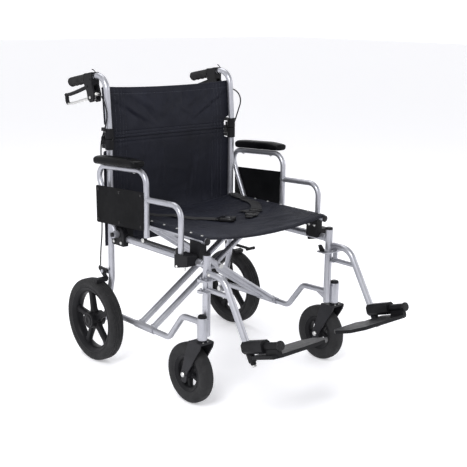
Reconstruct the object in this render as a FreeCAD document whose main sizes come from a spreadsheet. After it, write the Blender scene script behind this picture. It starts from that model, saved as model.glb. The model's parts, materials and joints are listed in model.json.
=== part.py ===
import FreeCAD, Part
import Sketcher
import math
import os

# Heavy-duty folding transport wheelchair with 300 mm rear wheels and 200 mm casters.
# Frame: +Z up, the chair faces -Y, +X is the occupant's left.  Millimetres.
# Origin: on the floor, under the middle of the chair.

V = FreeCAD.Vector
X_AXIS = V(1, 0, 0)
Y_AXIS = V(0, 1, 0)
Z_AXIS = V(0, 0, 1)

doc = FreeCAD.newDocument("wheelchair")

# ---------------------------------------------------------------- driving dimensions

DIMENSIONS = [
    # alias, value, meaning
    ("frame_half_width", 280, "centre plane to the centre of a side frame"),
    ("rear_axle_y", 338, "rear axle, fore and aft"),
    ("rear_post_y", 300, "rear post and cane, fore and aft"),
    ("front_post_y", -227, "front post, fore and aft"),
    ("cane_radius", 11.1, "rear post, cane and hanger tube"),
    ("rail_radius", 12.7, "front post and upper side rail"),
    ("seat_rail_radius", 11, "seat rail and cross-brace tube"),
    ("lower_rail_radius", 10, "lower side rail"),
    ("arm_radius", 9.5, "armrest tube"),
    ("running_gap", 0.06, "radial clearance of a running fit"),
    ("side_rail_z", 465, "upper side rail"),
    ("lower_rail_z", 172, "lower side rail, straight part"),
    ("seat_rail_z", 535, "seat rail"),
    ("seat_rail_x", 268, "centre plane to the centre of a seat rail"),
    ("seat_front_y", -212, "front end of the seat rails"),
    ("seat_rear_y", 272, "rear end of the seat rails"),
    ("front_post_top", 497, "top of the front post"),
    ("front_post_foot", 232, "foot of the front post"),
    ("rear_wheel_radius", 150, "rear tyre"),
    ("rear_wheel_width", 52, "rear tyre"),
    ("rear_wheel_x", 329, "centre plane to the middle of a rear wheel"),
    ("caster_radius", 100, "caster tyre"),
    ("caster_width", 43, "caster tyre"),
    ("caster_x", 306, "centre plane to the caster stem"),
    ("caster_stem_y", -238, "caster stem, fore and aft"),
    ("caster_trail", 58, "caster stem to caster axle"),
    ("fold_z", 802, "height of the back fold pivot"),
    ("fold_y", 319, "back fold pivot, fore and aft"),
    ("cane_top_z", 1013, "centre of the push handle at its bend"),
    ("handle_end_y", 536, "rear end of the push handle"),
    ("arm_x", 312, "centre plane to the armrest tubes"),
    ("arm_pivot_y", 228, "armrest pivot"),
    ("arm_pivot_z", 482, "armrest pivot"),
    ("arm_top_z", 727, "armrest tube under the pad, front end"),
    ("arm_rear_z", 709, "armrest tube under the pad, rear end"),
    ("arm_rear_y", 338, "rear bend of the armrest"),
    ("arm_front_y", 44, "front upright of the armrest"),
    ("arm_leg_y", -138, "front leg of the armrest"),
    ("arm_step_z", 641, "step tube of the armrest"),
    ("hanger_pivot_x", 304, "footrest hanger pivot"),
    ("hanger_x", 287, "footrest hanger tube"),
    ("hanger_top_z", 441, "footrest hanger, upper run"),
    ("hanger_foot_y", -430, "lower end of the hanger tube"),
    ("hanger_foot_z", 253, "lower end of the hanger tube"),
    ("footplate_tilt", 18, "toe-up tilt of the footplate, degrees"),
    ("footplate_width", 240, "footplate across the chair"),
    ("footplate_length", 140, "footplate along its pivot"),
    ("upholstery_thickness", 4, "seat and back sling"),
    ("seat_sag", 22, "sag of the seat sling"),
]

sheet = doc.addObject("Spreadsheet::Sheet", "Dims")
for row, (alias, value, meaning) in enumerate(DIMENSIONS, start=1):
    sheet.set(f"A{row}", meaning)
    sheet.set(f"B{row}", str(value))
    sheet.setAlias(f"B{row}", alias)
doc.recompute()


class Size:
    """A number together with the spreadsheet expression that gives it."""

    def __init__(self, value, text):
        self.value = float(value)
        self.text = text

    def __add__(self, other):
        other = size(other)
        return Size(self.value + other.value, f"({self.text} + {other.text})")

    __radd__ = __add__

    def __sub__(self, other):
        other = size(other)
        return Size(self.value - other.value, f"({self.text} - {other.text})")

    def __rsub__(self, other):
        return size(other) - self

    def __mul__(self, other):
        other = size(other)
        return Size(self.value * other.value, f"({self.text} * {other.text})")

    __rmul__ = __mul__

    def __truediv__(self, other):
        other = size(other)
        return Size(self.value / other.value, f"({self.text} / {other.text})")

    def __neg__(self):
        return Size(-self.value, f"(-1 * {self.text})")


def size(number):
    if isinstance(number, Size):
        return number
    return Size(number, f"({number:.4f})")


def dim(alias):
    """A driving dimension of the sheet."""
    return Size(getattr(sheet, alias), f"Dims.{alias}")


HALF_WIDTH = dim("frame_half_width")
REAR_AXLE_Y = dim("rear_axle_y")
REAR_POST_Y = dim("rear_post_y")
FRONT_POST_Y = dim("front_post_y")
CANE_R = dim("cane_radius")
RAIL_R = dim("rail_radius")
SEAT_RAIL_R = dim("seat_rail_radius")
LOWER_RAIL_R = dim("lower_rail_radius")
ARM_R = dim("arm_radius")
GAP = dim("running_gap")
SIDE_RAIL_Z = dim("side_rail_z")
LOWER_RAIL_Z = dim("lower_rail_z")
SEAT_RAIL_Z = dim("seat_rail_z")
SEAT_RAIL_X = dim("seat_rail_x")
SEAT_FRONT_Y = dim("seat_front_y")
SEAT_REAR_Y = dim("seat_rear_y")
POST_TOP = dim("front_post_top")
POST_FOOT = dim("front_post_foot")
REAR_R = dim("rear_wheel_radius")
REAR_W = dim("rear_wheel_width")
REAR_X = dim("rear_wheel_x")
CASTER_R = dim("caster_radius")
CASTER_W = dim("caster_width")
CASTER_X = dim("caster_x")
STEM_Y = dim("caster_stem_y")
CASTER_AXLE_Y = dim("caster_stem_y") + dim("caster_trail")
FOLD_Z = dim("fold_z")
FOLD_Y = dim("fold_y")
CANE_TOP_Z = dim("cane_top_z")
HANDLE_END_Y = dim("handle_end_y")
ARM_X = dim("arm_x")
ARM_PIVOT_Y = dim("arm_pivot_y")
ARM_PIVOT_Z = dim("arm_pivot_z")
ARM_TOP_Z = dim("arm_top_z")
ARM_REAR_Z = dim("arm_rear_z")
ARM_REAR_Y = dim("arm_rear_y")
ARM_FRONT_Y = dim("arm_front_y")
ARM_LEG_Y = dim("arm_leg_y")
ARM_STEP_Z = dim("arm_step_z")
HANGER_PIVOT_X = dim("hanger_pivot_x")
HANGER_X = dim("hanger_x")
HANGER_TOP_Z = dim("hanger_top_z")
FOOT_Y = dim("hanger_foot_y")
FOOT_Z = dim("hanger_foot_z")
TILT = dim("footplate_tilt")
PLATE_W = dim("footplate_width")
PLATE_L = dim("footplate_length")
CLOTH = dim("upholstery_thickness")
SEAT_SAG = dim("seat_sag")

parts_out = []


def keep(obj, label):
    """Name a finished sub-part; the label is the name of its file."""
    obj.Label = label
    parts_out.append(obj)
    return obj


# ---------------------------------------------------------------- primitive helpers


def bind(obj, **properties):
    for name, number in properties.items():
        obj.setExpression(name, size(number).text)


def place(obj, point, rotation=None):
    if rotation is not None:
        obj.Placement.Rotation = rotation
    for axis, number in zip("xyz", point):
        obj.setExpression(f"Placement.Base.{axis}", size(number).text)
    return obj


def cylinder(name, radius, length, start, direction=Z_AXIS):
    obj = doc.addObject("Part::Cylinder", name)
    bind(obj, Radius=radius, Height=length)
    return place(obj, start, FreeCAD.Rotation(Z_AXIS, direction))


def box(name, lengths, corner):
    obj = doc.addObject("Part::Box", name)
    bind(obj, Length=lengths[0], Width=lengths[1], Height=lengths[2])
    return place(obj, corner)


def block(name, x_span, y_span, z_span, side=1):
    """A box between limits; side -1 mirrors its x span."""
    low_x = x_span[0] if side > 0 else -size(x_span[1])
    lengths = [size(high) - low for low, high in (x_span, y_span, z_span)]
    return box(name, lengths, (low_x, y_span[0], z_span[0]))


def fuse(name, shapes, refine=True):
    obj = doc.addObject("Part::MultiFuse", name)
    obj.Shapes = shapes
    obj.Refine = refine
    return obj


def cut(name, base, tools):
    tool = tools[0] if len(tools) == 1 else fuse(name + "_tools", tools)
    obj = doc.addObject("Part::Cut", name)
    obj.Base = base
    obj.Tool = tool
    obj.Refine = True
    return obj


def group(name, shapes):
    """Separate solids of one node."""
    obj = doc.addObject("Part::Compound", name)
    obj.Links = shapes
    return obj


def round_edges(name, base, radius, chosen):
    """Round the edges of a solid for which chosen(edge) is true."""
    doc.recompute()
    obj = doc.addObject("Part::Fillet", name)
    obj.Base = base
    edges = []
    for index, edge in enumerate(base.Shape.Edges, start=1):
        if chosen(edge):
            edges.append((index, radius, radius))
    obj.Edges = edges
    return obj


def along(direction):
    """True for straight edges that run along a direction."""

    def test(edge):
        if not isinstance(edge.Curve, Part.Line):
            return False
        return abs(edge.tangentAt(edge.FirstParameter).dot(direction)) > 0.999

    return test


def numbers(point):
    return V(*[size(number).value for number in point])


def rounded_path(points, bend):
    """Straight runs joined by tangent arcs; bend is one radius or one for each corner."""
    corners = points[1:-1]
    bends = bend if isinstance(bend, list) else [bend] * len(corners)
    edges = []
    start = points[0]
    for index, corner in enumerate(corners):
        before = points[index]
        after = points[index + 2]
        incoming = (corner - before).normalize()
        outgoing = (after - corner).normalize()
        half_turn = incoming.getAngle(outgoing) / 2
        setback = bends[index] * math.tan(half_turn)
        arc_start = corner - incoming * setback
        arc_end = corner + outgoing * setback
        bisector = (outgoing - incoming).normalize()
        arc_middle = corner + bisector * (bends[index] / math.cos(half_turn) - bends[index])
        edges.append(Part.LineSegment(start, arc_start).toShape())
        edges.append(Part.Arc(arc_start, arc_middle, arc_end).toShape())
        start = arc_end
    edges.append(Part.LineSegment(start, points[-1]).toShape())
    return Part.Wire(edges)


def tube(name, points, bend, radius):
    """A round bar along straight runs and tangent bends."""
    places = [numbers(point) for point in points]
    path = doc.addObject("Part::Feature", name + "_path")
    path.Shape = rounded_path(places, bend)
    profile = doc.addObject("Part::Circle", name + "_profile")
    profile.Placement.Rotation = FreeCAD.Rotation(Z_AXIS, places[1] - places[0])
    bind(profile, Radius=radius)
    place(profile, points[0])
    obj = doc.addObject("Part::Sweep", name)
    obj.Sections = [profile]
    obj.Spine = (path, [f"Edge{index + 1}" for index in range(len(path.Shape.Edges))])
    obj.Solid = True
    obj.Frenet = False
    return obj


# ---------------------------------------------------------------- sketch helpers

PLANES = {
    "XY": (FreeCAD.Rotation(), V(0, 0, 1)),
    "YZ": (FreeCAD.Rotation(V(1, 1, 1), 120), V(1, 0, 0)),
    "XZ": (FreeCAD.Rotation(V(1, 0, 0), 90), V(0, -1, 0)),
}


def draw_polygon(sketch, points):
    """Closed straight-sided outline whose corners are held by the sheet."""
    places = [V(size(u).value, size(v).value, 0) for u, v in points]
    count = len(places)
    for index in range(count):
        line = Part.LineSegment(places[index], places[(index + 1) % count])
        sketch.addGeometry(line, False)
    for index in range(count):
        following = (index + 1) % count
        sketch.addConstraint(Sketcher.Constraint("Coincident", index, 2, following, 1))
    for index, (u, v) in enumerate(points):
        for kind, number in (("DistanceX", size(u)), ("DistanceY", size(v))):
            place_of = sketch.addConstraint(Sketcher.Constraint(kind, -1, 1, index, 1, number.value))
            sketch.setExpression(f"Constraints[{place_of}]", number.text)


def plate(name, plane, points, level, thickness, corner=0.0):
    """A flat plate with a polygon outline, from level onwards along the plane's normal."""
    rotation, normal = PLANES[plane]
    sketch = doc.addObject("Sketcher::SketchObject", name + "_outline")
    sketch.Placement.Rotation = rotation
    base = (normal.x * size(level), normal.y * size(level), normal.z * size(level))
    place(sketch, base)
    draw_polygon(sketch, points)
    obj = doc.addObject("Part::Extrusion", name)
    obj.Base = sketch
    obj.DirMode = "Custom"
    obj.Dir = normal
    obj.Solid = True
    bind(obj, LengthFwd=thickness)
    if corner:
        return round_edges(name + "_rounded", obj, corner, along(normal))
    return obj


def side_plate(name, side, points, x_span, corner=0.0):
    """A YZ plate between two distances from the centre plane, on one side of the chair."""
    low, high = size(x_span[0]), size(x_span[1])
    level = low if side > 0 else -high
    return plate(name, "YZ", points, level, high - low, corner)


def new_body(label):
    body = doc.addObject("PartDesign::Body", label)
    return keep(body, label)


def origin_plane(body, role):
    return next(item for item in body.Origin.OriginFeatures if item.Role == role)


def body_sketch(body, name, role, offset=0.0):
    sketch = body.newObject("Sketcher::SketchObject", name)
    sketch.AttachmentSupport = (origin_plane(body, role), "")
    sketch.MapMode = "FlatFace"
    sketch.AttachmentOffset = FreeCAD.Placement(V(0, 0, offset), FreeCAD.Rotation())
    return sketch


def revolve(body, name, outline):
    """Turn an outline (axial place, radius) about the body's X axis."""
    sketch = body_sketch(body, name + "_outline", "XY_Plane")
    draw_polygon(sketch, outline)
    feature = body.newObject("PartDesign::Revolution", name)
    feature.Profile = sketch
    feature.ReferenceAxis = (sketch, ["H_Axis"])
    feature.Angle = 360
    body.Tip = feature
    return feature



SIDES = ((-1, "right"), (1, "left"))


def x_at(side, distance):
    return size(distance) if side > 0 else -size(distance)


def x_bar(name, side, x_span, radius, y, z):
    """A cylinder across the chair between two distances from the centre plane."""
    low = size(x_span[0])
    start = low if side > 0 else -size(x_span[1])
    return cylinder(name, radius, size(x_span[1]) - low, (start, y, z), X_AXIS)


# ---------------------------------------------------------------- side frames

LOWER_POST_BEND_Z = 300
LOWER_RAIL_DIP_Y = -35
LOWER_RAIL_RISE_Y = -109
LOWER_RAIL_RISE_Z = 266
HOUSING_R = 16
HOUSING_TOP = 300
HOUSING_FOOT = 228
STEM_R = 6
AXLE_R = 6
HANGER_PIN_R = 4
LUG_LEVELS = (378.0, 414.5)
LUG_HEIGHT = 6
PIN_RISE = 9
BRAKE_PIVOT_Y = 322
BRAKE_PIVOT_Z = 328
BRAKE_PIN_R = 4


def side_frame(side, tag):
    x = x_at(side, HALF_WIDTH)
    foot_y = REAR_AXLE_Y
    rear_post = tube(
        f"rear_post_{tag}",
        [(x, REAR_POST_Y, FOLD_Z - 38), (x, REAR_POST_Y, LOWER_POST_BEND_Z), (x, foot_y, 150)],
        90,
        CANE_R,
    )
    upper_rail = cylinder(
        f"upper_rail_{tag}", RAIL_R, REAR_POST_Y - FRONT_POST_Y, (x, FRONT_POST_Y, SIDE_RAIL_Z), Y_AXIS
    )
    front_post = cylinder(
        f"front_post_{tag}", RAIL_R, POST_TOP - POST_FOOT, (x, FRONT_POST_Y, POST_FOOT)
    )
    lower_rail = tube(
        f"lower_rail_{tag}",
        [
            (x, 332, LOWER_RAIL_Z),
            (x, LOWER_RAIL_DIP_Y, LOWER_RAIL_Z),
            (x, LOWER_RAIL_RISE_Y, LOWER_RAIL_RISE_Z),
            (x, FRONT_POST_Y, LOWER_RAIL_RISE_Z + 5),
        ],
        32,
        LOWER_RAIL_R,
    )
    housing = cylinder(
        f"caster_housing_{tag}",
        HOUSING_R,
        HOUSING_TOP - HOUSING_FOOT,
        (x_at(side, CASTER_X), STEM_Y, HOUSING_FOOT),
    )
    weld = block(f"housing_weld_{tag}", (285, 303), (-247, -225), (236, 292), side)
    gusset = side_plate(
        f"gusset_{tag}",
        side,
        [(FRONT_POST_Y, 234), (FRONT_POST_Y, 268), (-160, 268)],
        (HALF_WIDTH - 2, HALF_WIDTH + 2),
    )
    boss = x_bar(f"axle_boss_{tag}", side, (266, 296), 15, REAR_AXLE_Y, REAR_R)
    brake_lug = block(
        f"brake_lug_{tag}", (HALF_WIDTH, 293), (REAR_POST_Y, BRAKE_PIVOT_Y + 7), (320, 336), side
    )
    brake_pin = x_bar(f"brake_pin_{tag}", side, (288, 308), BRAKE_PIN_R, BRAKE_PIVOT_Y, BRAKE_PIVOT_Z)
    brake_pin_head = x_bar(
        f"brake_pin_head_{tag}", side, (304.4, 308), 6.5, BRAKE_PIVOT_Y, BRAKE_PIVOT_Z
    )
    pieces = [rear_post, upper_rail, front_post, lower_rail, housing, weld, gusset, boss]
    pieces += [brake_lug, brake_pin, brake_pin_head]
    for number, level in enumerate(LUG_LEVELS):
        lug = block(
            f"hanger_lug_{number}_{tag}",
            (HALF_WIDTH, HANGER_PIVOT_X + 8),
            (FRONT_POST_Y - 8, FRONT_POST_Y + 8),
            (level, level + LUG_HEIGHT),
            side,
        )
        pin = cylinder(
            f"hanger_pin_{number}_{tag}",
            HANGER_PIN_R,
            PIN_RISE + 1,
            (x_at(side, HANGER_PIVOT_X), FRONT_POST_Y, level + LUG_HEIGHT - 1),
        )
        pieces += [lug, pin]
    stem_bore = cylinder(
        f"stem_bore_{tag}",
        size(STEM_R) + GAP,
        HOUSING_TOP - HOUSING_FOOT + 2,
        (x_at(side, CASTER_X), STEM_Y, HOUSING_FOOT - 1),
    )
    axle_bore = x_bar(f"axle_bore_{tag}", side, (260, 300), AXLE_R, REAR_AXLE_Y, REAR_R)
    solid = fuse(f"side_frame_solid_{tag}", pieces, refine=False)
    keep(cut(f"side_frame_cut_{tag}", solid, [stem_bore, axle_bore]), f"side_frame_{tag}")


def frame_fittings(side, tag):
    """Black plugs of the front post and caster housing, and the seat-rail saddles.

    The seat rail drops into the two saddles when the chair is open.
    """
    x = x_at(side, HALF_WIDTH)
    post = cylinder(f"post_plug_{tag}", RAIL_R, 8, (x, FRONT_POST_Y, POST_TOP))
    post = round_edges(f"post_plug_round_{tag}", post, 3, lambda e: e.CenterOfMass.z > 500)
    stem_x = x_at(side, CASTER_X)
    cap = cylinder(f"housing_plug_{tag}", HOUSING_R - 1, 9, (stem_x, STEM_Y, HOUSING_TOP))
    cap = round_edges(f"housing_plug_round_{tag}", cap, 6, lambda e: e.CenterOfMass.z > 305)
    fittings = [post, cap]
    for number, (rear, front) in enumerate(((-142, -192), (245, 205))):
        blank = block(f"saddle_blank_{number}_{tag}", (252, 279.5), (front, rear), (464, 532), side)
        side_rail = cylinder(f"saddle_rail_{number}_{tag}", RAIL_R, 80, (x, front - 10, SIDE_RAIL_Z), Y_AXIS)
        seat_rail = cylinder(
            f"saddle_seat_{number}_{tag}",
            SEAT_RAIL_R + 0.4,
            80,
            (x_at(side, SEAT_RAIL_X), front - 10, SEAT_RAIL_Z),
            Y_AXIS,
        )
        fittings.append(cut(f"saddle_{number}_{tag}", blank, [side_rail, seat_rail]))
    keep(group(f"frame_fittings_{tag}", fittings), f"frame_fittings_{tag}")


ARM_PIN_R = 4
LOCK_PIVOT_Y = -114
LOCK_X = 306
LOCK_PIN_R = 3


def armrest_brackets(side, tag):
    """Front socket and rear pivot bracket of the armrest, both on the upper side rail."""
    socket = side_plate(
        f"arm_socket_blank_{tag}",
        side,
        [(-186, 456), (-120, 440), (-120, 489), (-186, 489)],
        (HALF_WIDTH + 3, 325),
        4,
    )
    rail = cylinder(
        f"arm_socket_rail_{tag}", RAIL_R, 560, (x_at(side, HALF_WIDTH), -240, SIDE_RAIL_Z), Y_AXIS
    )
    pocket = block(
        f"arm_socket_pocket_{tag}",
        (ARM_X - ARM_R - 0.5, ARM_X + ARM_R + 0.5),
        (ARM_LEG_Y - ARM_R - 3, ARM_LEG_Y + ARM_R + 3),
        (461, 495),
        side,
    )
    lever_slot = block(f"lock_slot_{tag}", (294, 340), (LOCK_PIVOT_Y - 12, -100), (480.5, 500), side)
    socket = cut(f"arm_socket_{tag}", socket, [rail, pocket, lever_slot])
    ear = block(f"lock_ear_{tag}", (298, 314), (-124, LOCK_PIVOT_Y + 8), (468, 480.5), side)
    lock_x = x_at(side, LOCK_X)
    lock_pin = cylinder(f"lock_pin_{tag}", LOCK_PIN_R, 24, (lock_x, LOCK_PIVOT_Y, 478))
    lock_head = cylinder(f"lock_pin_head_{tag}", 5.5, 2.5, (lock_x, LOCK_PIVOT_Y, 499.5))
    front = fuse(f"arm_socket_solid_{tag}", [socket, ear, lock_pin, lock_head])
    bracket = side_plate(
        f"arm_bracket_blank_{tag}",
        side,
        [(192, 441), (262, 441), (262, 478), (244, 505), (208, 505), (192, 486)],
        (HALF_WIDTH + 2, 301.5),
        3,
    )
    rail_rear = cylinder(
        f"arm_bracket_rail_{tag}", RAIL_R, 120, (x_at(side, HALF_WIDTH), 160, SIDE_RAIL_Z), Y_AXIS
    )
    bracket = cut(f"arm_bracket_{tag}", bracket, [rail_rear])
    pin = x_bar(f"arm_pin_{tag}", side, (296, 326), ARM_PIN_R, ARM_PIVOT_Y, ARM_PIVOT_Z)
    head = x_bar(f"arm_pin_head_{tag}", side, (322.2, 327), 8, ARM_PIVOT_Y, ARM_PIVOT_Z)
    rear = fuse(f"arm_pivot_{tag}", [bracket, pin, head])
    keep(group(f"armrest_brackets_{tag}", [front, rear]), f"armrest_brackets_{tag}")


def rear_axle(side, tag):
    shank = x_bar(f"rear_axle_shank_{tag}", side, (259, 353), AXLE_R, REAR_AXLE_Y, REAR_R)
    head = x_bar(f"rear_axle_head_{tag}", side, (259, 266), 10, REAR_AXLE_Y, REAR_R)
    nut = x_bar(f"rear_axle_nut_{tag}", side, (345.2, 353), 10, REAR_AXLE_Y, REAR_R)
    spacer = x_bar(f"rear_axle_spacer_{tag}", side, (296, 299.6), 10, REAR_AXLE_Y, REAR_R)
    keep(fuse(f"rear_axle_{tag}", [shank, head, nut, spacer]), f"rear_axle_{tag}")


# ---------------------------------------------------------------- wheels


def wheel_bodies(side, tag, kind, centre, tyre_outline, rim_outline, spoke):
    """Tyre and spoked rim; outlines are (distance outward from the wheel's middle, radius)."""
    tyre = new_body(f"{kind}_tyre_{tag}")
    revolve(tyre, f"{kind}_tyre_ring_{tag}", [(side * size(u), r) for u, r in tyre_outline])
    place(tyre, centre)
    rim = new_body(f"{kind}_rim_{tag}")
    revolve(rim, f"{kind}_rim_hub_{tag}", [(side * size(u), r) for u, r in rim_outline["hub"]])
    revolve(rim, f"{kind}_rim_barrel_{tag}", [(side * size(u), r) for u, r in rim_outline["barrel"]])
    inner, outer, width, depth, first = spoke
    sketch = body_sketch(rim, f"{kind}_spoke_outline_{tag}", "YZ_Plane")
    turn = math.radians(first)
    along_spoke = V(math.cos(turn), math.sin(turn), 0)
    across = V(-math.sin(turn), math.cos(turn), 0)
    corners = [
        along_spoke * inner + across * (width * 0.62),
        along_spoke * outer + across * (width * 0.5),
        along_spoke * outer - across * (width * 0.5),
        along_spoke * inner - across * (width * 0.62),
    ]
    draw_polygon(sketch, [(corner.x, corner.y) for corner in corners])
    pad = rim.newObject("PartDesign::Pad", f"{kind}_spoke_{tag}")
    pad.Profile = sketch
    pad.Type = 0
    pad.Length = depth
    pad.Midplane = True
    pattern = rim.newObject("PartDesign::PolarPattern", f"{kind}_spokes_{tag}")
    pattern.Originals = [pad]
    pattern.Axis = (sketch, ["N_Axis"])
    pattern.Angle = 360
    pattern.Occurrences = 5
    rim.Tip = pattern
    place(rim, centre)
    return tyre, rim


def rear_wheel(side, tag):
    half = REAR_W / 2
    tyre = [
        (-half + 3, 121),
        (-half, REAR_R - 14),
        (-half + 9, REAR_R - 3),
        (-half + 17, REAR_R),
        (half - 17, REAR_R),
        (half - 9, REAR_R - 3),
        (half, REAR_R - 14),
        (half - 3, 121),
        (half - 6, 117),
        (-half + 6, 117),
    ]
    hub = [(-28.5, 6 + GAP), (-28.5, 27), (-10, 30), (31, 30), (31, 0), (28, 0), (28, 13), (15.5, 13), (15.5, 6 + GAP)]
    barrel = [(-19, 104), (-19, 117), (19, 117), (19, 104), (12, 99), (-12, 99)]
    centre = (x_at(side, REAR_X), REAR_AXLE_Y, REAR_R)
    wheel_bodies(side, tag, "rear", centre, tyre, {"hub": hub, "barrel": barrel}, (24, 102, 22, 20, 90))


def caster_wheel(side, tag):
    half = CASTER_W / 2
    tyre = [
        (-half + 3, 66),
        (-half, CASTER_R - 13),
        (-half + 8, CASTER_R - 3),
        (-half + 15, CASTER_R),
        (half - 15, CASTER_R),
        (half - 8, CASTER_R - 3),
        (half, CASTER_R - 13),
        (half - 3, 66),
        (half - 6, 60),
        (-half + 6, 60),
    ]
    hub = [(-23, 5 + GAP), (-23, 15), (-14, 20), (14, 20), (23, 15), (23, 5 + GAP)]
    barrel = [(-15.5, 50), (-15.5, 60), (15.5, 60), (15.5, 50), (9, 46), (-9, 46)]
    centre = (x_at(side, CASTER_X), CASTER_AXLE_Y, CASTER_R)
    wheel_bodies(side, tag, "caster", centre, tyre, {"hub": hub, "barrel": barrel}, (16, 48, 14, 15, 54))


def caster_fork(side, tag):
    """Stamped fork: a crown under the housing and two legs that trail to the axle."""
    leg_outline = [
        (STEM_Y - 26, 222),
        (STEM_Y - 20, 202),
        (CASTER_AXLE_Y - 14, CASTER_R + 2),
        (CASTER_AXLE_Y - 14, CASTER_R - 18),
        (CASTER_AXLE_Y - 7, CASTER_R - 28),
        (CASTER_AXLE_Y + 7, CASTER_R - 28),
        (CASTER_AXLE_Y + 14, CASTER_R - 18),
        (CASTER_AXLE_Y + 14, CASTER_R + 2),
        (STEM_Y + 42, 200),
        (STEM_Y + 34, 222),
    ]
    pieces = []
    for name, span in (("inner", (-28.5, -24.5)), ("outer", (24.5, 28.5))):
        x_span = (CASTER_X + span[0], CASTER_X + span[1])
        pieces.append(side_plate(f"fork_leg_{name}_{tag}", side, leg_outline, x_span, 5))
    crown = block(
        f"fork_crown_{tag}",
        (CASTER_X - 27, CASTER_X + 27),
        (STEM_Y - 22, STEM_Y + 30),
        (216, 222),
        side,
    )
    collar = cylinder(f"fork_collar_{tag}", 15, 5.5, (x_at(side, CASTER_X), STEM_Y, 222))
    stem = cylinder(f"fork_stem_{tag}", STEM_R, 74, (x_at(side, CASTER_X), STEM_Y, 220))
    bore = x_bar(f"fork_bore_{tag}", side, (CASTER_X - 32, CASTER_X + 32), 5, CASTER_AXLE_Y, CASTER_R)
    solid = fuse(f"fork_solid_{tag}", pieces + [crown, collar, stem])
    keep(cut(f"fork_cut_{tag}", solid, [bore]), f"caster_fork_{tag}")


def caster_axle(side, tag):
    shank = x_bar(f"caster_axle_shank_{tag}", side, (CASTER_X - 34, CASTER_X + 31), 5, CASTER_AXLE_Y, CASTER_R)
    head = x_bar(f"caster_axle_head_{tag}", side, (CASTER_X + 28.5, CASTER_X + 34), 8, CASTER_AXLE_Y, CASTER_R)
    nut = x_bar(f"caster_axle_nut_{tag}", side, (CASTER_X - 34.5, CASTER_X - 28.5), 8, CASTER_AXLE_Y, CASTER_R)
    keep(fuse(f"caster_axle_{tag}", [shank, head, nut]), f"caster_axle_{tag}")


# ---------------------------------------------------------------- cross-brace and seat

BRACE_SLOPE = (SEAT_RAIL_Z - LOWER_RAIL_Z) / (SEAT_RAIL_X + HALF_WIDTH)
CENTRE_Z = LOWER_RAIL_Z + HALF_WIDTH * BRACE_SLOPE
SLEEVE_R = 12.5
BOLT_R = 4
BRACE_PAIR = 68
FRONT_TUBE_Y = {"a": 65, "b": 41}


def cross_brace(letter, foot_side):
    """One X member: a sleeve round the lower rail, two tubes, and the opposite seat rail."""
    foot_x = foot_side * HALF_WIDTH
    head_x = -foot_side * SEAT_RAIL_X
    front = FRONT_TUBE_Y[letter]
    sleeve = cylinder(
        f"brace_sleeve_{letter}", SLEEVE_R, BRACE_PAIR + 36, (foot_x, front - 18, LOWER_RAIL_Z), Y_AXIS
    )
    pieces = [sleeve]
    for number in range(2):
        y = front + number * BRACE_PAIR
        ends = [(foot_x, y, LOWER_RAIL_Z), (head_x, y, SEAT_RAIL_Z)]
        run = numbers(ends[1]) - numbers(ends[0])
        bar = doc.addObject("Part::Cylinder", f"brace_tube_{letter}_{number}")
        bar.Height = run.Length
        bind(bar, Radius=SEAT_RAIL_R)
        place(bar, ends[0], FreeCAD.Rotation(Z_AXIS, run))
        pieces.append(bar)
    rail = cylinder(
        f"seat_rail_{letter}",
        SEAT_RAIL_R,
        SEAT_REAR_Y - SEAT_FRONT_Y,
        (head_x, SEAT_FRONT_Y, SEAT_RAIL_Z),
        Y_AXIS,
    )
    pieces.append(rail)
    bore = cylinder(
        f"sleeve_bore_{letter}",
        LOWER_RAIL_R + GAP,
        BRACE_PAIR + 60,
        (foot_x, front - 30, LOWER_RAIL_Z),
        Y_AXIS,
    )
    bolt_gap = 0.0 if letter == "a" else GAP
    bolt_hole = cylinder(f"bolt_hole_{letter}", BOLT_R + size(bolt_gap), 220, (0, 0, CENTRE_Z), Y_AXIS)
    solid = fuse(f"brace_solid_{letter}", pieces)
    brace = cut(f"brace_cut_{letter}", solid, [bore, bolt_hole])
    plugs = []
    for end, start in (("front", SEAT_FRONT_Y - 3), ("rear", SEAT_REAR_Y)):
        plugs.append(cylinder(f"rail_plug_{end}_{letter}", SEAT_RAIL_R, 3, (head_x, start, SEAT_RAIL_Z), Y_AXIS))
    keep(group(f"cross_brace_{letter}", [brace] + plugs), f"cross_brace_{letter}")


def brace_bolt():
    shank = cylinder("brace_bolt_shank", BOLT_R, 56 + BRACE_PAIR, (0, 25, CENTRE_Z), Y_AXIS)
    head = cylinder("brace_bolt_head", 9, 5, (0, 24, CENTRE_Z), Y_AXIS)
    nut = cylinder("brace_bolt_nut", 8, 7, (0, 76.5 + BRACE_PAIR, CENTRE_Z), Y_AXIS)
    keep(fuse("brace_bolt", [shank, head, nut]), "brace_bolt")


def sag_outline(half, flat, sag, low, thickness):
    """Cross-section of a sling: flat over the rails and sagging between them."""
    upper = []
    steps = 12
    for index in range(steps + 1):
        share = -1 + 2 * index / steps
        drop = sag * (1 - share * share)
        upper.append((flat * share, low + thickness - drop))
    upper = [(-half, low + thickness)] + upper + [(half, low + thickness)]
    lower = [(u, size(v) - thickness) for u, v in reversed(upper)]
    return upper + lower


def seat_sling():
    """Seat sling and the two lap-belt halves that lie on it."""
    outline = sag_outline(SEAT_RAIL_X + 11, SEAT_RAIL_X - 6, SEAT_SAG, SEAT_RAIL_Z + SEAT_RAIL_R + 0.5, CLOTH)
    sling = plate("seat_sling_sheet", "XZ", outline, -(SEAT_REAR_Y + 12), SEAT_REAR_Y + 12 - SEAT_FRONT_Y)
    surface = SEAT_RAIL_Z + SEAT_RAIL_R + 0.5 + CLOTH
    belt = box("lap_belt_web", (34, 190, 3), (60, 60, surface - 18.8))
    buckle = box("lap_belt_buckle", (46, 62, 12), (54, -4, surface - 18.8))
    web = box("lap_belt_tongue_web", (34, 150, 3), (-60, 100, surface - 20.4))
    keep(group("seat_upholstery", [sling, belt, buckle, web]), "seat_upholstery")


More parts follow.
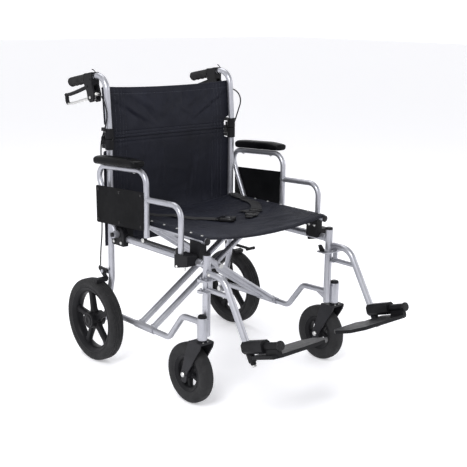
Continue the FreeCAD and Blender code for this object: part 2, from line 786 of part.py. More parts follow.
# ---------------------------------------------------------------- back

LEAN = 0.0866
BACK_FACE_Y = REAR_POST_Y + CANE_R + 0.6
BACK_TOP = 966
BACK_FOOT = 420
JOINT_R = 15
KNUCKLE_R = 8.5
HINGE_PIN_R = 3
BACK_HALF = 295
BACK_UPPER_HALF = 291
NOTCH_HALF = 256


def back_lower():
    """Lower back panel: a flat sling behind the rear posts."""
    main = block("back_lower_main", (-BACK_HALF, BACK_HALF), (BACK_FACE_Y, BACK_FACE_Y + CLOTH), (BACK_FOOT, 760))
    top = block("back_lower_top", (-NOTCH_HALF, NOTCH_HALF), (BACK_FACE_Y, BACK_FACE_Y + CLOTH), (755, FOLD_Z - 1))
    keep(fuse("back_upholstery_lower", [main, top]), "back_upholstery_lower")


def back_upper():
    """Upper back panel: leans back with the canes."""
    base = FOLD_Z + 0.5
    lean_top = (BACK_TOP - FOLD_Z.value - 36) * LEAN
    outline = [
        (BACK_FACE_Y, base),
        (BACK_FACE_Y, base + 36),
        (BACK_FACE_Y + lean_top, BACK_TOP),
        (BACK_FACE_Y + lean_top + CLOTH, BACK_TOP),
        (BACK_FACE_Y + CLOTH, base + 36),
        (BACK_FACE_Y + CLOTH, base),
    ]
    sheet_full = plate("back_upper_sheet", "YZ", outline, -BACK_UPPER_HALF, 2 * BACK_UPPER_HALF)
    notches = []
    for side, tag in SIDES:
        notches.append(block(f"back_notch_{tag}", (NOTCH_HALF, 320), (300, 340), (790, 846), side))
    keep(cut("back_upper_cut", sheet_full, notches), "back_upholstery_upper")


def hinge_ring(name, side, x_span):
    return x_bar(name, side, x_span, KNUCKLE_R, FOLD_Y, FOLD_Z)


def back_joint(side, tag):
    """Half-folding back joint: a lower and an upper sleeve with interleaved knuckles."""
    x = x_at(side, HALF_WIDTH)
    outer_spans = ((264, 272), (288, 296))
    middle_span = (272.4, 287.6)
    lower = cylinder(f"joint_lower_sleeve_{tag}", JOINT_R, 36, (x, REAR_POST_Y, FOLD_Z - 37))
    lower_tail = block(f"joint_lower_tail_{tag}", (274, 286), (REAR_POST_Y + 8, 338), (767, 779), side)
    rings = [hinge_ring(f"joint_lower_ring_{n}_{tag}", side, span) for n, span in enumerate(outer_spans)]
    webs = []
    for number, span in enumerate(outer_spans):
        webs.append(block(f"joint_lower_web_{number}_{tag}", span, (306, FOLD_Y + 6), (782, 800), side))
    solid = fuse(f"joint_lower_solid_{tag}", [lower, lower_tail] + rings + webs)
    post_bore = cylinder(f"joint_lower_bore_{tag}", CANE_R, 27, (x, REAR_POST_Y, FOLD_Z - 65))
    clear = x_bar(f"joint_lower_clear_{tag}", side, (272, 288), KNUCKLE_R + 0.6, FOLD_Y, FOLD_Z)
    pin_hole = x_bar(f"joint_lower_pin_hole_{tag}", side, (260, 300), HINGE_PIN_R, FOLD_Y, FOLD_Z)
    keep(
        cut(f"joint_lower_cut_{tag}", solid, [post_bore, clear, pin_hole]),
        f"back_joint_lower_{tag}",
    )
    upper = cylinder(f"joint_upper_sleeve_{tag}", JOINT_R, 35, (x, REAR_POST_Y, FOLD_Z + 1))
    upper_tail = block(f"joint_upper_tail_{tag}", (274, 286), (REAR_POST_Y + 8, 340), (826, 838), side)
    ring = hinge_ring(f"joint_upper_ring_{tag}", side, middle_span)
    web = block(f"joint_upper_web_{tag}", middle_span, (306, FOLD_Y + 6), (FOLD_Z + 1, 822), side)
    pin = x_bar(f"joint_pin_{tag}", side, (262, 298), HINGE_PIN_R - GAP, FOLD_Y, FOLD_Z)
    solid = fuse(f"joint_upper_solid_{tag}", [upper, upper_tail, ring, web])
    clears = []
    for number, span in enumerate(outer_spans):
        wide = (span[0] - 0.4, span[1] + 0.4)
        clears.append(x_bar(f"joint_upper_clear_{number}_{tag}", side, wide, KNUCKLE_R + 0.6, FOLD_Y, FOLD_Z))
    cane_bore = cylinder(f"joint_upper_bore_{tag}", CANE_R, 30, (x, REAR_POST_Y, FOLD_Z + 10))
    trimmed = cut(f"joint_upper_trim_{tag}", solid, clears + [cane_bore])
    keep(fuse(f"joint_upper_{tag}", [trimmed, pin]), f"back_joint_upper_{tag}")


HANDLE_SLOPE = 0.19
CANE_STRAIGHT_TOP = 968


def handle_point(y):
    """A point on the push handle's centre line, which slopes down to the rear."""
    return y, CANE_TOP_Z - (size(y) - 368) * HANDLE_SLOPE


def back_cane(side, tag):
    x = x_at(side, HALF_WIDTH)
    lean_y = REAR_POST_Y + (CANE_STRAIGHT_TOP - 838) * LEAN
    corner_y = REAR_POST_Y + 15
    corner_z = CANE_TOP_Z + (368 - corner_y) * HANDLE_SLOPE
    points = [
        (x, REAR_POST_Y, FOLD_Z + 10),
        (x, REAR_POST_Y, 838),
        (x, lean_y + 3.5, corner_z),
        (x,) + handle_point(HANDLE_END_Y - 8),
    ]
    keep(tube(f"back_cane_{tag}", points, [60, 52], CANE_R), f"back_cane_{tag}")


GRIP_FRONT_Y = 434
MOUNT_FRONT_Y = 380
HANDLE_TURN = FreeCAD.Rotation(X_AXIS, -math.degrees(math.atan(HANDLE_SLOPE)))


def grip(side, tag):
    """Ribbed rubber grip on the push handle, a closed sleeve with a domed end."""
    body = new_body(f"handle_grip_{tag}")
    sketch = body_sketch(body, f"grip_outline_{tag}", "XY_Plane")
    length = (HANDLE_END_Y - GRIP_FRONT_Y) / math.cos(math.atan(HANDLE_SLOPE))
    outline = [(CANE_R, 0), (16.5, 0), (17.5, 4), (16, 10), (16, length - 8), (18, length - 5), (15, length), (0, length)]
    outline += [(0, length - 8), (CANE_R, length - 8)]
    draw_polygon(sketch, outline)
    feature = body.newObject("PartDesign::Revolution", f"grip_turn_{tag}")
    feature.Profile = sketch
    feature.ReferenceAxis = (sketch, ["V_Axis"])
    feature.Angle = 360
    body.Tip = feature
    place(body, (x_at(side, HALF_WIDTH),) + handle_point(GRIP_FRONT_Y), HANDLE_TURN)


LEVER_PIVOT_Y = 388
LEVER_PIVOT_Z = 938
LEVER_PIN_R = 4


def brake_lever_mount(side, tag):
    """Clamp and housing of the hand brake, hanging below the push handle."""
    near_end, far_end = handle_point(MOUNT_FRONT_Y), handle_point(GRIP_FRONT_Y - 6)
    outline = [
        (near_end[0], near_end[1] + 15),
        (near_end[0], near_end[1] - 30),
        (368, 950),
        (372, 925),
        (392, 920),
        (406, 930),
        (412, 955),
        (far_end[0], far_end[1] - 22),
        (far_end[0], far_end[1] + 15),
    ]
    blank = side_plate(f"lever_mount_blank_{tag}", side, outline, (HALF_WIDTH - 16, HALF_WIDTH + 16), 4)
    start_y = 340
    start = (x_at(side, HALF_WIDTH),) + handle_point(start_y)
    bore = cylinder(f"lever_mount_bore_{tag}", CANE_R + 0.2, 130, start)
    bore.Placement.Rotation = HANDLE_TURN.multiply(FreeCAD.Rotation(Z_AXIS, Y_AXIS))
    slot = block(f"lever_slot_{tag}", (HALF_WIDTH - 9, HALF_WIDTH + 9), (365, 440), (900, 982), side)
    body = cut(f"lever_mount_body_{tag}", blank, [bore, slot])
    pin = x_bar(
        f"lever_pin_{tag}", side, (HALF_WIDTH - 15, HALF_WIDTH + 15), LEVER_PIN_R, LEVER_PIVOT_Y, LEVER_PIVOT_Z
    )
    ferrule = cylinder(f"lever_ferrule_{tag}", 4.5, 20, (x_at(side, HALF_WIDTH + 11), 351, 952), Y_AXIS)
    keep(fuse(f"lever_mount_{tag}", [body, pin, ferrule]), f"brake_lever_mount_{tag}")


def brake_lever(side, tag):
    """Loop lever: an upper and a lower bar joined at the rear end."""
    outline = [
        (378, 936),
        (384, 928),
        (424, 926),
        (548, 896),
        (562, 899),
        (578.16, 926),
        (572, 938),
        (436, 972),
        (424, 972),
        (384, 950),
    ]
    loop = side_plate(f"lever_loop_{tag}", side, outline, (HALF_WIDTH - 7, HALF_WIDTH + 7), 3)
    hole_outline = [(430, 938), (550, 908), (563, 926), (440, 958)]
    window = side_plate(f"lever_window_{tag}", side, hole_outline, (HALF_WIDTH - 20, HALF_WIDTH + 20), 3)
    pivot = x_bar(
        f"lever_pivot_{tag}", side, (HALF_WIDTH - 20, HALF_WIDTH + 20), LEVER_PIN_R + GAP, LEVER_PIVOT_Y, LEVER_PIVOT_Z
    )
    keep(cut(f"brake_lever_{tag}", loop, [window, pivot]), f"brake_lever_{tag}")


# ---------------------------------------------------------------- wheel brake and cable


def wheel_brake(side, tag):
    """Brake arm with its shoe above the tyre; the cable pulls the rear end up.

    The left arm also has a bar to press by foot or by hand.
    """
    front = {"right": 296, "left": 206}[tag]
    outline = [
        (front, 331),
        (front, 340),
        (BRAKE_PIVOT_Y - 10, 341),
        (347, 343),
        (349, 332),
        (333, 319),
        (312, 302),
        (296, 299),
        (294, 309),
        (306, 318),
        (308, 331),
    ]
    arm = side_plate(f"brake_arm_{tag}", side, outline, (298, 304))
    shoe_outline = [(294, 296), (312, 299.1), (311, 311), (292, 308)]
    shoe = side_plate(f"brake_shoe_{tag}", side, shoe_outline, (303, 348))
    pieces = [arm, shoe]
    if tag == "left":
        pieces.append(x_bar("brake_foot_bar", side, (286, 326), 6, 206, 335.5))
    hole = x_bar(f"brake_hole_{tag}", side, (290, 310), BRAKE_PIN_R + GAP, BRAKE_PIVOT_Y, BRAKE_PIVOT_Z)
    solid = fuse(f"brake_solid_{tag}", pieces)
    keep(cut(f"brake_cut_{tag}", solid, [hole]), f"wheel_brake_{tag}")


CABLE_R = 2.5
CABLE_SECTION = math.pi * CABLE_R**2


def brake_cable(side, tag):
    """Sheathed cable from the hand lever, down outside the cane, to the wheel brake."""
    bulge = {"right": 0, "left": 26}[tag]
    route = [
        (291, 350, 952),
        (293.5, 330, 951),
        (297.5 + bulge * 0.7, 306, 938),
        (296 + bulge, 290, 905),
        (296 + bulge * 0.35, 289, 866),
        (301, 300, 830),
        (302, 318, 795),
        (293, 335, 745),
        (292, 336, 470),
        (300, 338.5, 400),
        (301, 338.5, 345.5),
    ]
    places = [V(side * across, y, z) for across, y, z in route]
    bends = []
    for before, corner, after in zip(places, places[1:], places[2:]):
        incoming, outgoing = corner - before, after - corner
        half_turn = max(incoming.getAngle(outgoing) / 2, 0.004)
        bends.append(0.45 * min(incoming.Length, outgoing.Length) / math.tan(half_turn))
    path = rounded_path(places, bends)
    profile = Part.Wire(Part.makeCircle(CABLE_R, places[0], places[1] - places[0]))
    cable = doc.addObject("Part::Feature", f"brake_cable_{tag}")
    cable.Shape = path.makePipeShell([profile], True, False)
    print(f"brake_cable_{tag}: length {path.Length:.0f} mm, volume ratio", end=" ")
    print(f"{cable.Shape.Volume / (path.Length * CABLE_SECTION):.4f}, tightest bend {min(bends):.0f} mm")
    keep(cable, f"brake_cable_{tag}")


# ---------------------------------------------------------------- armrests


ARM_SLOPE = (ARM_TOP_Z - ARM_REAR_Z) / (ARM_REAR_Y - ARM_FRONT_Y)
PAD_FRONT_Y = 62
PAD_LENGTH = 244


def armrest(side, tag):
    x = x_at(side, ARM_X)
    loop = tube(
        f"arm_loop_{tag}",
        [
            (x, ARM_PIVOT_Y, ARM_PIVOT_Z),
            (x, ARM_REAR_Y, ARM_REAR_Z),
            (x, ARM_FRONT_Y, ARM_TOP_Z),
            (x, ARM_FRONT_Y, 505),
        ],
        [38, 45],
        ARM_R,
    )
    step = tube(
        f"arm_step_{tag}",
        [(x, ARM_FRONT_Y, ARM_STEP_Z - 8), (x, ARM_LEG_Y, ARM_STEP_Z), (x, ARM_LEG_Y, 463)],
        42,
        ARM_R,
    )
    eye = x_bar(f"arm_eye_{tag}", side, (ARM_X - ARM_R - 0.3, ARM_X + ARM_R + 0.3), 13, ARM_PIVOT_Y, ARM_PIVOT_Z)
    solid = fuse(f"arm_solid_{tag}", [loop, step, eye])
    hole = x_bar(f"arm_hole_{tag}", side, (290, 340), ARM_PIN_R + GAP, ARM_PIVOT_Y, ARM_PIVOT_Z)
    inner = x_bar(f"arm_inner_face_{tag}", side, (280, 302.1), 30, ARM_PIVOT_Y, ARM_PIVOT_Z)
    open_end = cylinder(f"arm_open_end_{tag}", 7.5, 40, (x, ARM_FRONT_Y, 500))
    keep(cut(f"arm_cut_{tag}", solid, [hole, inner, open_end]), f"armrest_frame_{tag}")


def armrest_pad(side, tag):
    """Moulded pad along the top tube, which slopes down to the rear."""
    body = new_body(f"armrest_pad_{tag}")
    sketch = body_sketch(body, f"pad_outline_{tag}", "XY_Plane")
    draw_polygon(sketch, [(-27, 0), (27, 0), (27, PAD_LENGTH), (-27, PAD_LENGTH)])
    pad = body.newObject("PartDesign::Pad", f"pad_solid_{tag}")
    pad.Profile = sketch
    pad.Length = 31
    doc.recompute()
    upright = along(Z_AXIS)
    corners = [f"Edge{n}" for n, edge in enumerate(pad.Shape.Edges, start=1) if upright(edge)]
    rounding = body.newObject("PartDesign::Fillet", f"pad_corners_{tag}")
    rounding.Base = (pad, corners)
    rounding.Radius = 23
    doc.recompute()
    top = [f"Edge{n}" for n, edge in enumerate(rounding.Shape.Edges, start=1) if edge.CenterOfMass.z > 30.9]
    crown = body.newObject("PartDesign::Fillet", f"pad_crown_{tag}")
    crown.Base = (rounding, top)
    crown.Radius = 12
    body.Tip = crown
    under = ARM_TOP_Z + ARM_R + 0.05 - (PAD_FRONT_Y - ARM_FRONT_Y) * ARM_SLOPE
    turn = FreeCAD.Rotation(X_AXIS, -math.degrees(math.atan(ARM_SLOPE.value)))
    place(body, (x_at(side, 324.5), PAD_FRONT_Y, under), turn)


def side_panel(side, tag):
    """Thin clothing guard outside the armrest tubes."""
    panel = side_plate(
        f"side_panel_sheet_{tag}",
        side,
        [(47, 529), (320, 512), (322, 643), (46, 658)],
        (ARM_X + ARM_R + 0.1, ARM_X + ARM_R + 3.1),
        6,
    )
    keep(panel, f"side_panel_{tag}")


def armrest_lock(side, tag):
    """Release lever of the armrest, lying along the side rail."""
    x = x_at(side, LOCK_X)
    rod = cylinder(f"lock_rod_{tag}", 5, 60 - LOCK_PIVOT_Y, (x, LOCK_PIVOT_Y + 6, 491), Y_AXIS)
    root = cylinder(f"lock_root_{tag}", 8, 16, (x, LOCK_PIVOT_Y, 483))
    knob = x_bar(f"lock_knob_{tag}", side, (300, 312), 9, 66, 491)
    hole = cylinder(f"lock_hole_{tag}", LOCK_PIN_R + GAP, 40, (x, LOCK_PIVOT_Y, 470))
    solid = fuse(f"lock_solid_{tag}", [rod, root, knob])
    keep(cut(f"lock_cut_{tag}", solid, [hole]), f"armrest_lock_{tag}")


# ---------------------------------------------------------------- footrests

UPPER_PLATE_Z = LUG_LEVELS[1] + LUG_HEIGHT + 0.3
LOWER_PLATE_Z = LUG_LEVELS[0] + LUG_HEIGHT + 0.3
PLATE_T = 3.5


def hanger_plate(name, side, level, hook):
    """A horizontal plate from the pivot, round the front of the post."""
    inward = 232 if hook else 272
    outline = [
        (313, -219),
        (313, -262),
        (inward + 6, -262),
        (inward, -252),
        (inward, -214),
        (inward + 26, -214),
        (inward + 26, -243),
        (295.5, -243),
        (295.5, -219),
    ]
    if not hook:
        outline = [(313, -219), (313, -262), (270, -262), (270, -243), (295.5, -243), (295.5, -219)]
    points = [(x_at(side, u), v) for u, v in outline]
    return plate(name, "XY", points, level, PLATE_T, 2.5)


def hanger(side, tag):
    """Swing-away hanger: bent tube, brace and two pivot plates."""
    x = x_at(side, HANGER_X)
    main = tube(
        f"hanger_main_{tag}",
        [(x, -243.5, HANGER_TOP_Z), (x, -318, HANGER_TOP_Z), (x, FOOT_Y, FOOT_Z)],
        58,
        CANE_R,
    )
    brace = cylinder(f"hanger_brace_{tag}", 8, 104, (x, -246, 390), Y_AXIS.negative())
    web = block(f"hanger_web_{tag}", (HANGER_X - 2, HANGER_X + 2), (-262, -244), (386, 440), side)
    plates = [
        hanger_plate(f"hanger_plate_upper_{tag}", side, UPPER_PLATE_Z, True),
        hanger_plate(f"hanger_plate_lower_{tag}", side, LOWER_PLATE_Z, False),
    ]
    solid = fuse(f"hanger_solid_{tag}", [main, brace, web] + plates)
    bore = cylinder(
        f"hanger_bore_{tag}", HANGER_PIN_R + GAP, 80, (x_at(side, HANGER_PIVOT_X), FRONT_POST_Y, 370)
    )
    latch_hole = cylinder(f"latch_hole_{tag}", 3, 30, (x_at(side, 245), -229, 410))
    keep(cut(f"hanger_cut_{tag}", solid, [bore, latch_hole]), f"hanger_{tag}")


def hanger_latch(side, tag):
    """Wing lever that frees the hanger, turning on the upper plate."""
    top = UPPER_PLATE_Z + PLATE_T
    base = cylinder(f"latch_base_{tag}", 9, 6, (x_at(side, 245), -229, top + 0.3))
    stem = cylinder(f"latch_stem_{tag}", size(3) - GAP, PLATE_T + 8, (x_at(side, 245), -229, UPPER_PLATE_Z - 4))
    wing = side_plate(
        f"latch_wing_{tag}",
        side,
        [(-240, top + 3), (-218, top + 3), (-212, top + 20), (-222, top + 22)],
        (241, 249),
        2,
    )
    keep(fuse(f"latch_solid_{tag}", [base, stem, wing]), f"hanger_latch_{tag}")


FOOT_PIN_R = 6
FOOT_TURN = FreeCAD.Rotation(X_AXIS, -dim("footplate_tilt").value)


def foot_place(obj, side):
    """Footrest pieces are made along -Y from the hanger's foot, then tilted toe-up."""
    return place(obj, (x_at(side, HANGER_X), FOOT_Y, FOOT_Z), FOOT_TURN)


def footplate_bracket(side, tag):
    """Moulded block on the hanger's foot that holds the footplate pin.

    The telescoping tube comes out below it, closed by a clamp bolt.
    """
    body = doc.addObject("PartDesign::Body", f"bracket_block_{tag}")
    sketch = body_sketch(body, f"bracket_outline_{tag}", "XZ_Plane", -9)
    across, bevel = 19.5, 9
    corners = [
        (-across, -across + bevel),
        (-across + bevel, -across),
        (across - bevel, -across),
        (across, -across + bevel),
        (across, across - bevel),
        (across - bevel, across),
        (-across + bevel, across),
        (-across, across - bevel),
    ]
    draw_polygon(sketch, corners)
    pad = body.newObject("PartDesign::Pad", f"bracket_solid_{tag}")
    pad.Profile = sketch
    pad.Length = 91
    doc.recompute()
    hole_sketch = body_sketch(body, f"bracket_bore_outline_{tag}", "XZ_Plane", 40)
    hole_sketch.addGeometry(Part.Circle(V(0, 0, 0), V(0, 0, 1), FOOT_PIN_R + GAP.value), False)
    hole_sketch.addConstraint(Sketcher.Constraint("Coincident", 0, 3, -1, 1))
    place_of = hole_sketch.addConstraint(Sketcher.Constraint("Radius", 0, FOOT_PIN_R + GAP.value))
    hole_sketch.setExpression(f"Constraints[{place_of}]", (FOOT_PIN_R + GAP).text)
    bore = body.newObject("PartDesign::Pocket", f"bracket_bore_{tag}")
    bore.Profile = hole_sketch
    bore.Length = 60
    bore.Reversed = True
    body.Tip = bore
    foot_place(body, side)
    foot = (x_at(side, HANGER_X), FOOT_Y, FOOT_Z)
    upward = V(0, 112, 188)
    socket = cylinder(f"bracket_socket_{tag}", CANE_R, 70, foot, upward)
    block_part = cut(f"bracket_cut_{tag}", body, [socket])
    stub = cylinder(f"extension_stub_{tag}", 9, 55, foot, upward.negative())
    bolt = cylinder(f"extension_bolt_{tag}", 6.5, 61, foot, upward.negative())
    keep(fuse(f"bracket_whole_{tag}", [block_part, stub, bolt]), f"footplate_bracket_{tag}")


def footplate_pin(side, tag):
    """Pivot pin of the footplate, with a round knob at its front end."""
    shank = cylinder(f"foot_pin_shank_{tag}", FOOT_PIN_R, 108, (0, -40, 0), Y_AXIS.negative())
    knob = cylinder(f"foot_pin_knob_{tag}", 15, 11, (0, -140.5, 0), Y_AXIS.negative())
    knob = round_edges(f"foot_pin_knob_round_{tag}", knob, 4, lambda e: abs(e.CenterOfMass.y) > 130)
    solid = fuse(f"foot_pin_{tag}", [shank, knob])
    keep(foot_place(solid, side), f"footplate_pin_{tag}")


def footplate(side, tag):
    """Composite footplate hung from a sleeve round the pin."""
    inboard = -side
    sleeve = cylinder(f"foot_sleeve_{tag}", 12, 54, (0, -84.5, 0), Y_AXIS.negative())
    web_x = (-8, 8)
    web = box(f"foot_web_{tag}", (16, 54, 30), (web_x[0], -138.5, -30))
    outline = [
        (inboard * -16, -26),
        (inboard * -20, -128),
        (inboard * 8, -PLATE_L),
        (inboard * (PLATE_W - 46), -PLATE_L + 6),
        (inboard * (PLATE_W - 6), -PLATE_L + 34),
        (inboard * (PLATE_W - 4), -40),
        (inboard * (PLATE_W - 30), -10),
        (inboard * 90, -2),
        (inboard * 74, -26),
    ]
    slab = plate(f"foot_slab_{tag}", "XY", outline, -36, 11, 7)
    solid = fuse(f"footplate_solid_{tag}", [slab, sleeve, web])
    bore = cylinder(f"foot_bore_{tag}", FOOT_PIN_R + GAP, 80, (0, -70, 0), Y_AXIS.negative())
    shaped = cut(f"footplate_cut_{tag}", solid, [bore])
    keep(foot_place(shaped, side), f"footplate_{tag}")


# ---------------------------------------------------------------- assembly

for side, tag in SIDES:
    side_frame(side, tag)
    frame_fittings(side, tag)
    armrest_brackets(side, tag)
    rear_axle(side, tag)
    rear_wheel(side, tag)
    caster_fork(side, tag)
    caster_axle(side, tag)
    caster_wheel(side, tag)
    back_joint(side, tag)
    back_cane(side, tag)
    grip(side, tag)
    brake_lever_mount(side, tag)
    brake_lever(side, tag)
    wheel_brake(side, tag)
    brake_cable(side, tag)
    armrest(side, tag)
    armrest_pad(side, tag)
    side_panel(side, tag)
    armrest_lock(side, tag)
    hanger(side, tag)
    hanger_latch(side, tag)
    footplate_bracket(side, tag)
    footplate_pin(side, tag)
    footplate(side, tag)

cross_brace("a", -1)
cross_brace("b", 1)
brace_bolt()
seat_sling()
back_lower()
back_upper()

doc.recompute()

for obj in doc.Objects:
    if "Invalid" in obj.State or "Error" in obj.State:
        raise RuntimeError(f"{obj.Name} failed: {obj.State}")
for obj in parts_out:
    if obj.Shape.isNull() or not obj.Shape.isValid() or not obj.Shape.Solids:
        raise RuntimeError(f"{obj.Label} has no valid solid")

os.makedirs("parts", exist_ok=True)
whole = FreeCAD.BoundBox()
for obj in parts_out:
    whole.add(obj.Shape.BoundBox)
    obj.Shape.exportStep(os.path.join("parts", obj.Label + ".step"))
print(len(parts_out), "parts, box", whole)
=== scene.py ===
import json
import random
from math import atan, copysign, cos, exp, hypot, pi, radians, sin, sqrt

import bpy
import numpy as np
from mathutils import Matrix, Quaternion, Vector

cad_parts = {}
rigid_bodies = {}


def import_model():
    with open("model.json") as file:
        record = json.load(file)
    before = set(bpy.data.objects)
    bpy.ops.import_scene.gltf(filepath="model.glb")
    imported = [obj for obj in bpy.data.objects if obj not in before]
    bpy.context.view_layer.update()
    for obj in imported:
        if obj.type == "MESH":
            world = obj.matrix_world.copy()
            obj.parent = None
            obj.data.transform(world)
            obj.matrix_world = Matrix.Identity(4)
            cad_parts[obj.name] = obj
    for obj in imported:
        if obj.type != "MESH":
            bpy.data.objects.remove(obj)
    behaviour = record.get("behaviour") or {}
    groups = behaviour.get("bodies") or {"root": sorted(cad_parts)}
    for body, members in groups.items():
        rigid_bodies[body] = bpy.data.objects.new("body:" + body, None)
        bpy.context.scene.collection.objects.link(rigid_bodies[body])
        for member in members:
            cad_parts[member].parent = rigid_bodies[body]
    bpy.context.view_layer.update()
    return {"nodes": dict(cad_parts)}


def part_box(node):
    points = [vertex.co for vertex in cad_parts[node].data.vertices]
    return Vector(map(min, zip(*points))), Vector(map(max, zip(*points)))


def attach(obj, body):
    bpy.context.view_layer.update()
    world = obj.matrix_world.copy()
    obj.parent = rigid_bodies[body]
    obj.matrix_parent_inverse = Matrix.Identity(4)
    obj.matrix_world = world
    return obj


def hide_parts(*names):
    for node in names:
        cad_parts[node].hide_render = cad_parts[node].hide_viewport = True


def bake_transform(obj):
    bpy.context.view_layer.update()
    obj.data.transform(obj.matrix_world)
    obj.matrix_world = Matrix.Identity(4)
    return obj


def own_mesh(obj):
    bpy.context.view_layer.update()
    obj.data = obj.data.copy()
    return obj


for leftover in list(bpy.data.objects):
    bpy.data.objects.remove(leftover)

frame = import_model()
MM = 0.001
SIDES = ((-1, "right"), (1, "left"))
TAU = 2 * pi

# driving dimensions, in millimetres from the middle (x) or the floor (z)
POST_X = 280
RAIL_X, RAIL_Z = 268, 535
LOWER_RAIL_Z = 172
ARM_X = 312
CASTER_X = 306
HANGER_X = 287
BRACE_PAIR = 68


def mm(x, y, z):
    """A point given in millimetres."""
    return Vector((x, y, z)) * MM


def at_side(side, x, y, z):
    """A point given for the left side, mirrored for the right."""
    return mm(side * x, y, z)


# ---------------- camera

CAMERA_AT = mm(-2077.5, -2364.9, 1244.0)
CAMERA_TARGET = mm(0.0, -36.4, 488.0)
CAMERA_ROLL = Quaternion((0, 0, 1), 0.01426)
camera_data = bpy.data.cameras.new("camera")
camera_data.sensor_width = 36.0
camera_data.lens = 71.48
camera = bpy.data.objects.new("camera", camera_data)
bpy.context.scene.collection.objects.link(camera)
camera.location = CAMERA_AT
camera.rotation_euler = ((CAMERA_TARGET - CAMERA_AT).to_track_quat("-Z", "Y") @ CAMERA_ROLL).to_euler()
bpy.context.scene.camera = camera

# ---------------- materials


class Shade:
    """A material with a Principled shader and helpers that add texture to it."""

    def __init__(self, name, color, roughness, metallic=0.0, **sockets):
        self.material = bpy.data.materials.new(name)
        self.material.use_nodes = True
        self.material.diffuse_color = (*color, 1.0)
        self.tree = self.material.node_tree
        self.tree.nodes.clear()
        self.shader = self.tree.nodes.new("ShaderNodeBsdfPrincipled")
        self.fill(self.shader, {"Base Color": (*color, 1.0), "Roughness": roughness, "Metallic": metallic})
        for socket, value in sockets.items():
            self.fill(self.shader, {socket.replace("_", " ").title().replace("Ior", "IOR"): value})
        self.add("ShaderNodeOutputMaterial", {"Surface": self.shader.outputs[0]})
        coords = self.add("ShaderNodeTexCoord", {})
        self.place, self.cut = coords["Object"], coords["UV"]
        self.height = None

    def fill(self, node, inputs):
        """Set inputs to values, or join them to other nodes' outputs."""
        for socket, value in inputs.items():
            if isinstance(value, bpy.types.NodeSocket):
                self.tree.links.new(value, node.inputs[socket])
            else:
                node.inputs[socket].default_value = value

    def add(self, kind, inputs, **properties):
        """Make a node and give its outputs."""
        node = self.tree.nodes.new(kind)
        for name, value in properties.items():
            setattr(node, name, value)
        self.fill(node, inputs)
        return node.outputs

    def cut_axes(self, turn=0.0):
        """Places on the flat cut or along the tread, in metres, turned by an angle."""
        return self.add("ShaderNodeMapping", {"Rotation": (0, 0, turn), "Vector": self.cut})[0]

    def noise(self, scale, detail=3.0, rough=0.55):
        inputs = {"Scale": scale, "Detail": detail, "Roughness": rough, "Vector": self.place}
        return self.add("ShaderNodeTexNoise", inputs)[0]

    def voronoi(self, scale):
        return self.add("ShaderNodeTexVoronoi", {"Scale": scale, "Vector": self.place})[0]

    def wave(self, pitch, vector, distortion=0.0, direction="X"):
        """Bands that repeat each pitch, in metres."""
        inputs = {"Scale": TAU / 20 / pitch, "Distortion": distortion, "Vector": vector}
        return self.add("ShaderNodeTexWave", inputs, bands_direction=direction, wave_profile="SIN")[1]

    def math(self, operation, first, second):
        return self.add("ShaderNodeMath", {0: first, 1: second}, operation=operation)[0]

    def tint(self, value, dark, light, low=0.3, high=0.7):
        """Base colour that varies between two colours with a texture value."""
        ramp = self.tree.nodes.new("ShaderNodeValToRGB")
        for element, place, color in zip(ramp.color_ramp.elements, (low, high), (dark, light)):
            element.position = place
            element.color = (*color, 1.0)
        self.fill(ramp, {0: value})
        self.fill(self.shader, {"Base Color": ramp.outputs[0]})

    def gloss(self, value, low, high):
        """Roughness that varies between two limits with a texture value."""
        inputs = {"Value": value, "From Min": 0.25, "From Max": 0.75, "To Min": low, "To Max": high}
        self.fill(self.shader, {"Roughness": self.add("ShaderNodeMapRange", inputs)[0]})

    def bump(self, value, strength, distance):
        """Relief, on top of what was added before it."""
        inputs = {"Strength": strength, "Distance": distance, "Height": value}
        if self.height is not None:
            inputs["Normal"] = self.height
        self.height = self.add("ShaderNodeBump", inputs)[0]
        self.fill(self.shader, {"Normal": self.height})

    def soften_edges(self, radius):
        self.height = self.add("ShaderNodeBevel", {"Radius": radius}, samples=4)[0]
        self.fill(self.shader, {"Normal": self.height})


def frame_paint():
    shade = Shade("silver_paint", (0.45, 0.455, 0.49), 0.32, 0.8, coat_weight=0.15, coat_roughness=0.2)
    shade.soften_edges(0.0007)
    flake = shade.noise(2600, 2.0)
    cloud = shade.noise(9, 4.0)
    shade.tint(shade.math("ADD", shade.math("MULTIPLY", flake, 0.45), shade.math("MULTIPLY", cloud, 0.55)),
               (0.325, 0.33, 0.365), (0.455, 0.46, 0.495), 0.35, 0.65)
    shade.gloss(shade.noise(38, 5.0, 0.65), 0.27, 0.42)
    shade.bump(shade.noise(520, 2.0), 0.10, 0.0004)
    return shade.material


def plastic(name, color, rough, grain=1500, strength=0.22):
    shade = Shade(name, color, rough, specular_ior_level=0.32 - 0.5 * rough)
    shade.soften_edges(0.0008)
    light = tuple(min(channel * 1.6 + 0.002, 1) for channel in color)
    shade.tint(shade.noise(14, 5.0, 0.6), color, light)
    shade.gloss(shade.noise(60, 4.0), rough - 0.08, rough + 0.1)
    shade.bump(shade.noise(grain, 2.0), strength, 0.0003)
    return shade.material


def rubber(name, tread):
    shade = Shade(name, (0.014, 0.014, 0.015), 0.72, specular_ior_level=0.2)
    shade.tint(shade.noise(22, 6.0, 0.65), (0.011, 0.011, 0.012), (0.024, 0.024, 0.025))
    shade.gloss(shade.noise(45, 5.0), 0.58, 0.85)
    if tread:
        across = shade.cut_axes()
        blocks = shade.math("MULTIPLY", shade.wave(0.009, across), shade.wave(0.013, across, 0.0, "Y"))
        shade.bump(blocks, 0.5, 0.0012)
    shade.bump(shade.noise(900, 3.0), 0.25, 0.0003)
    return shade.material


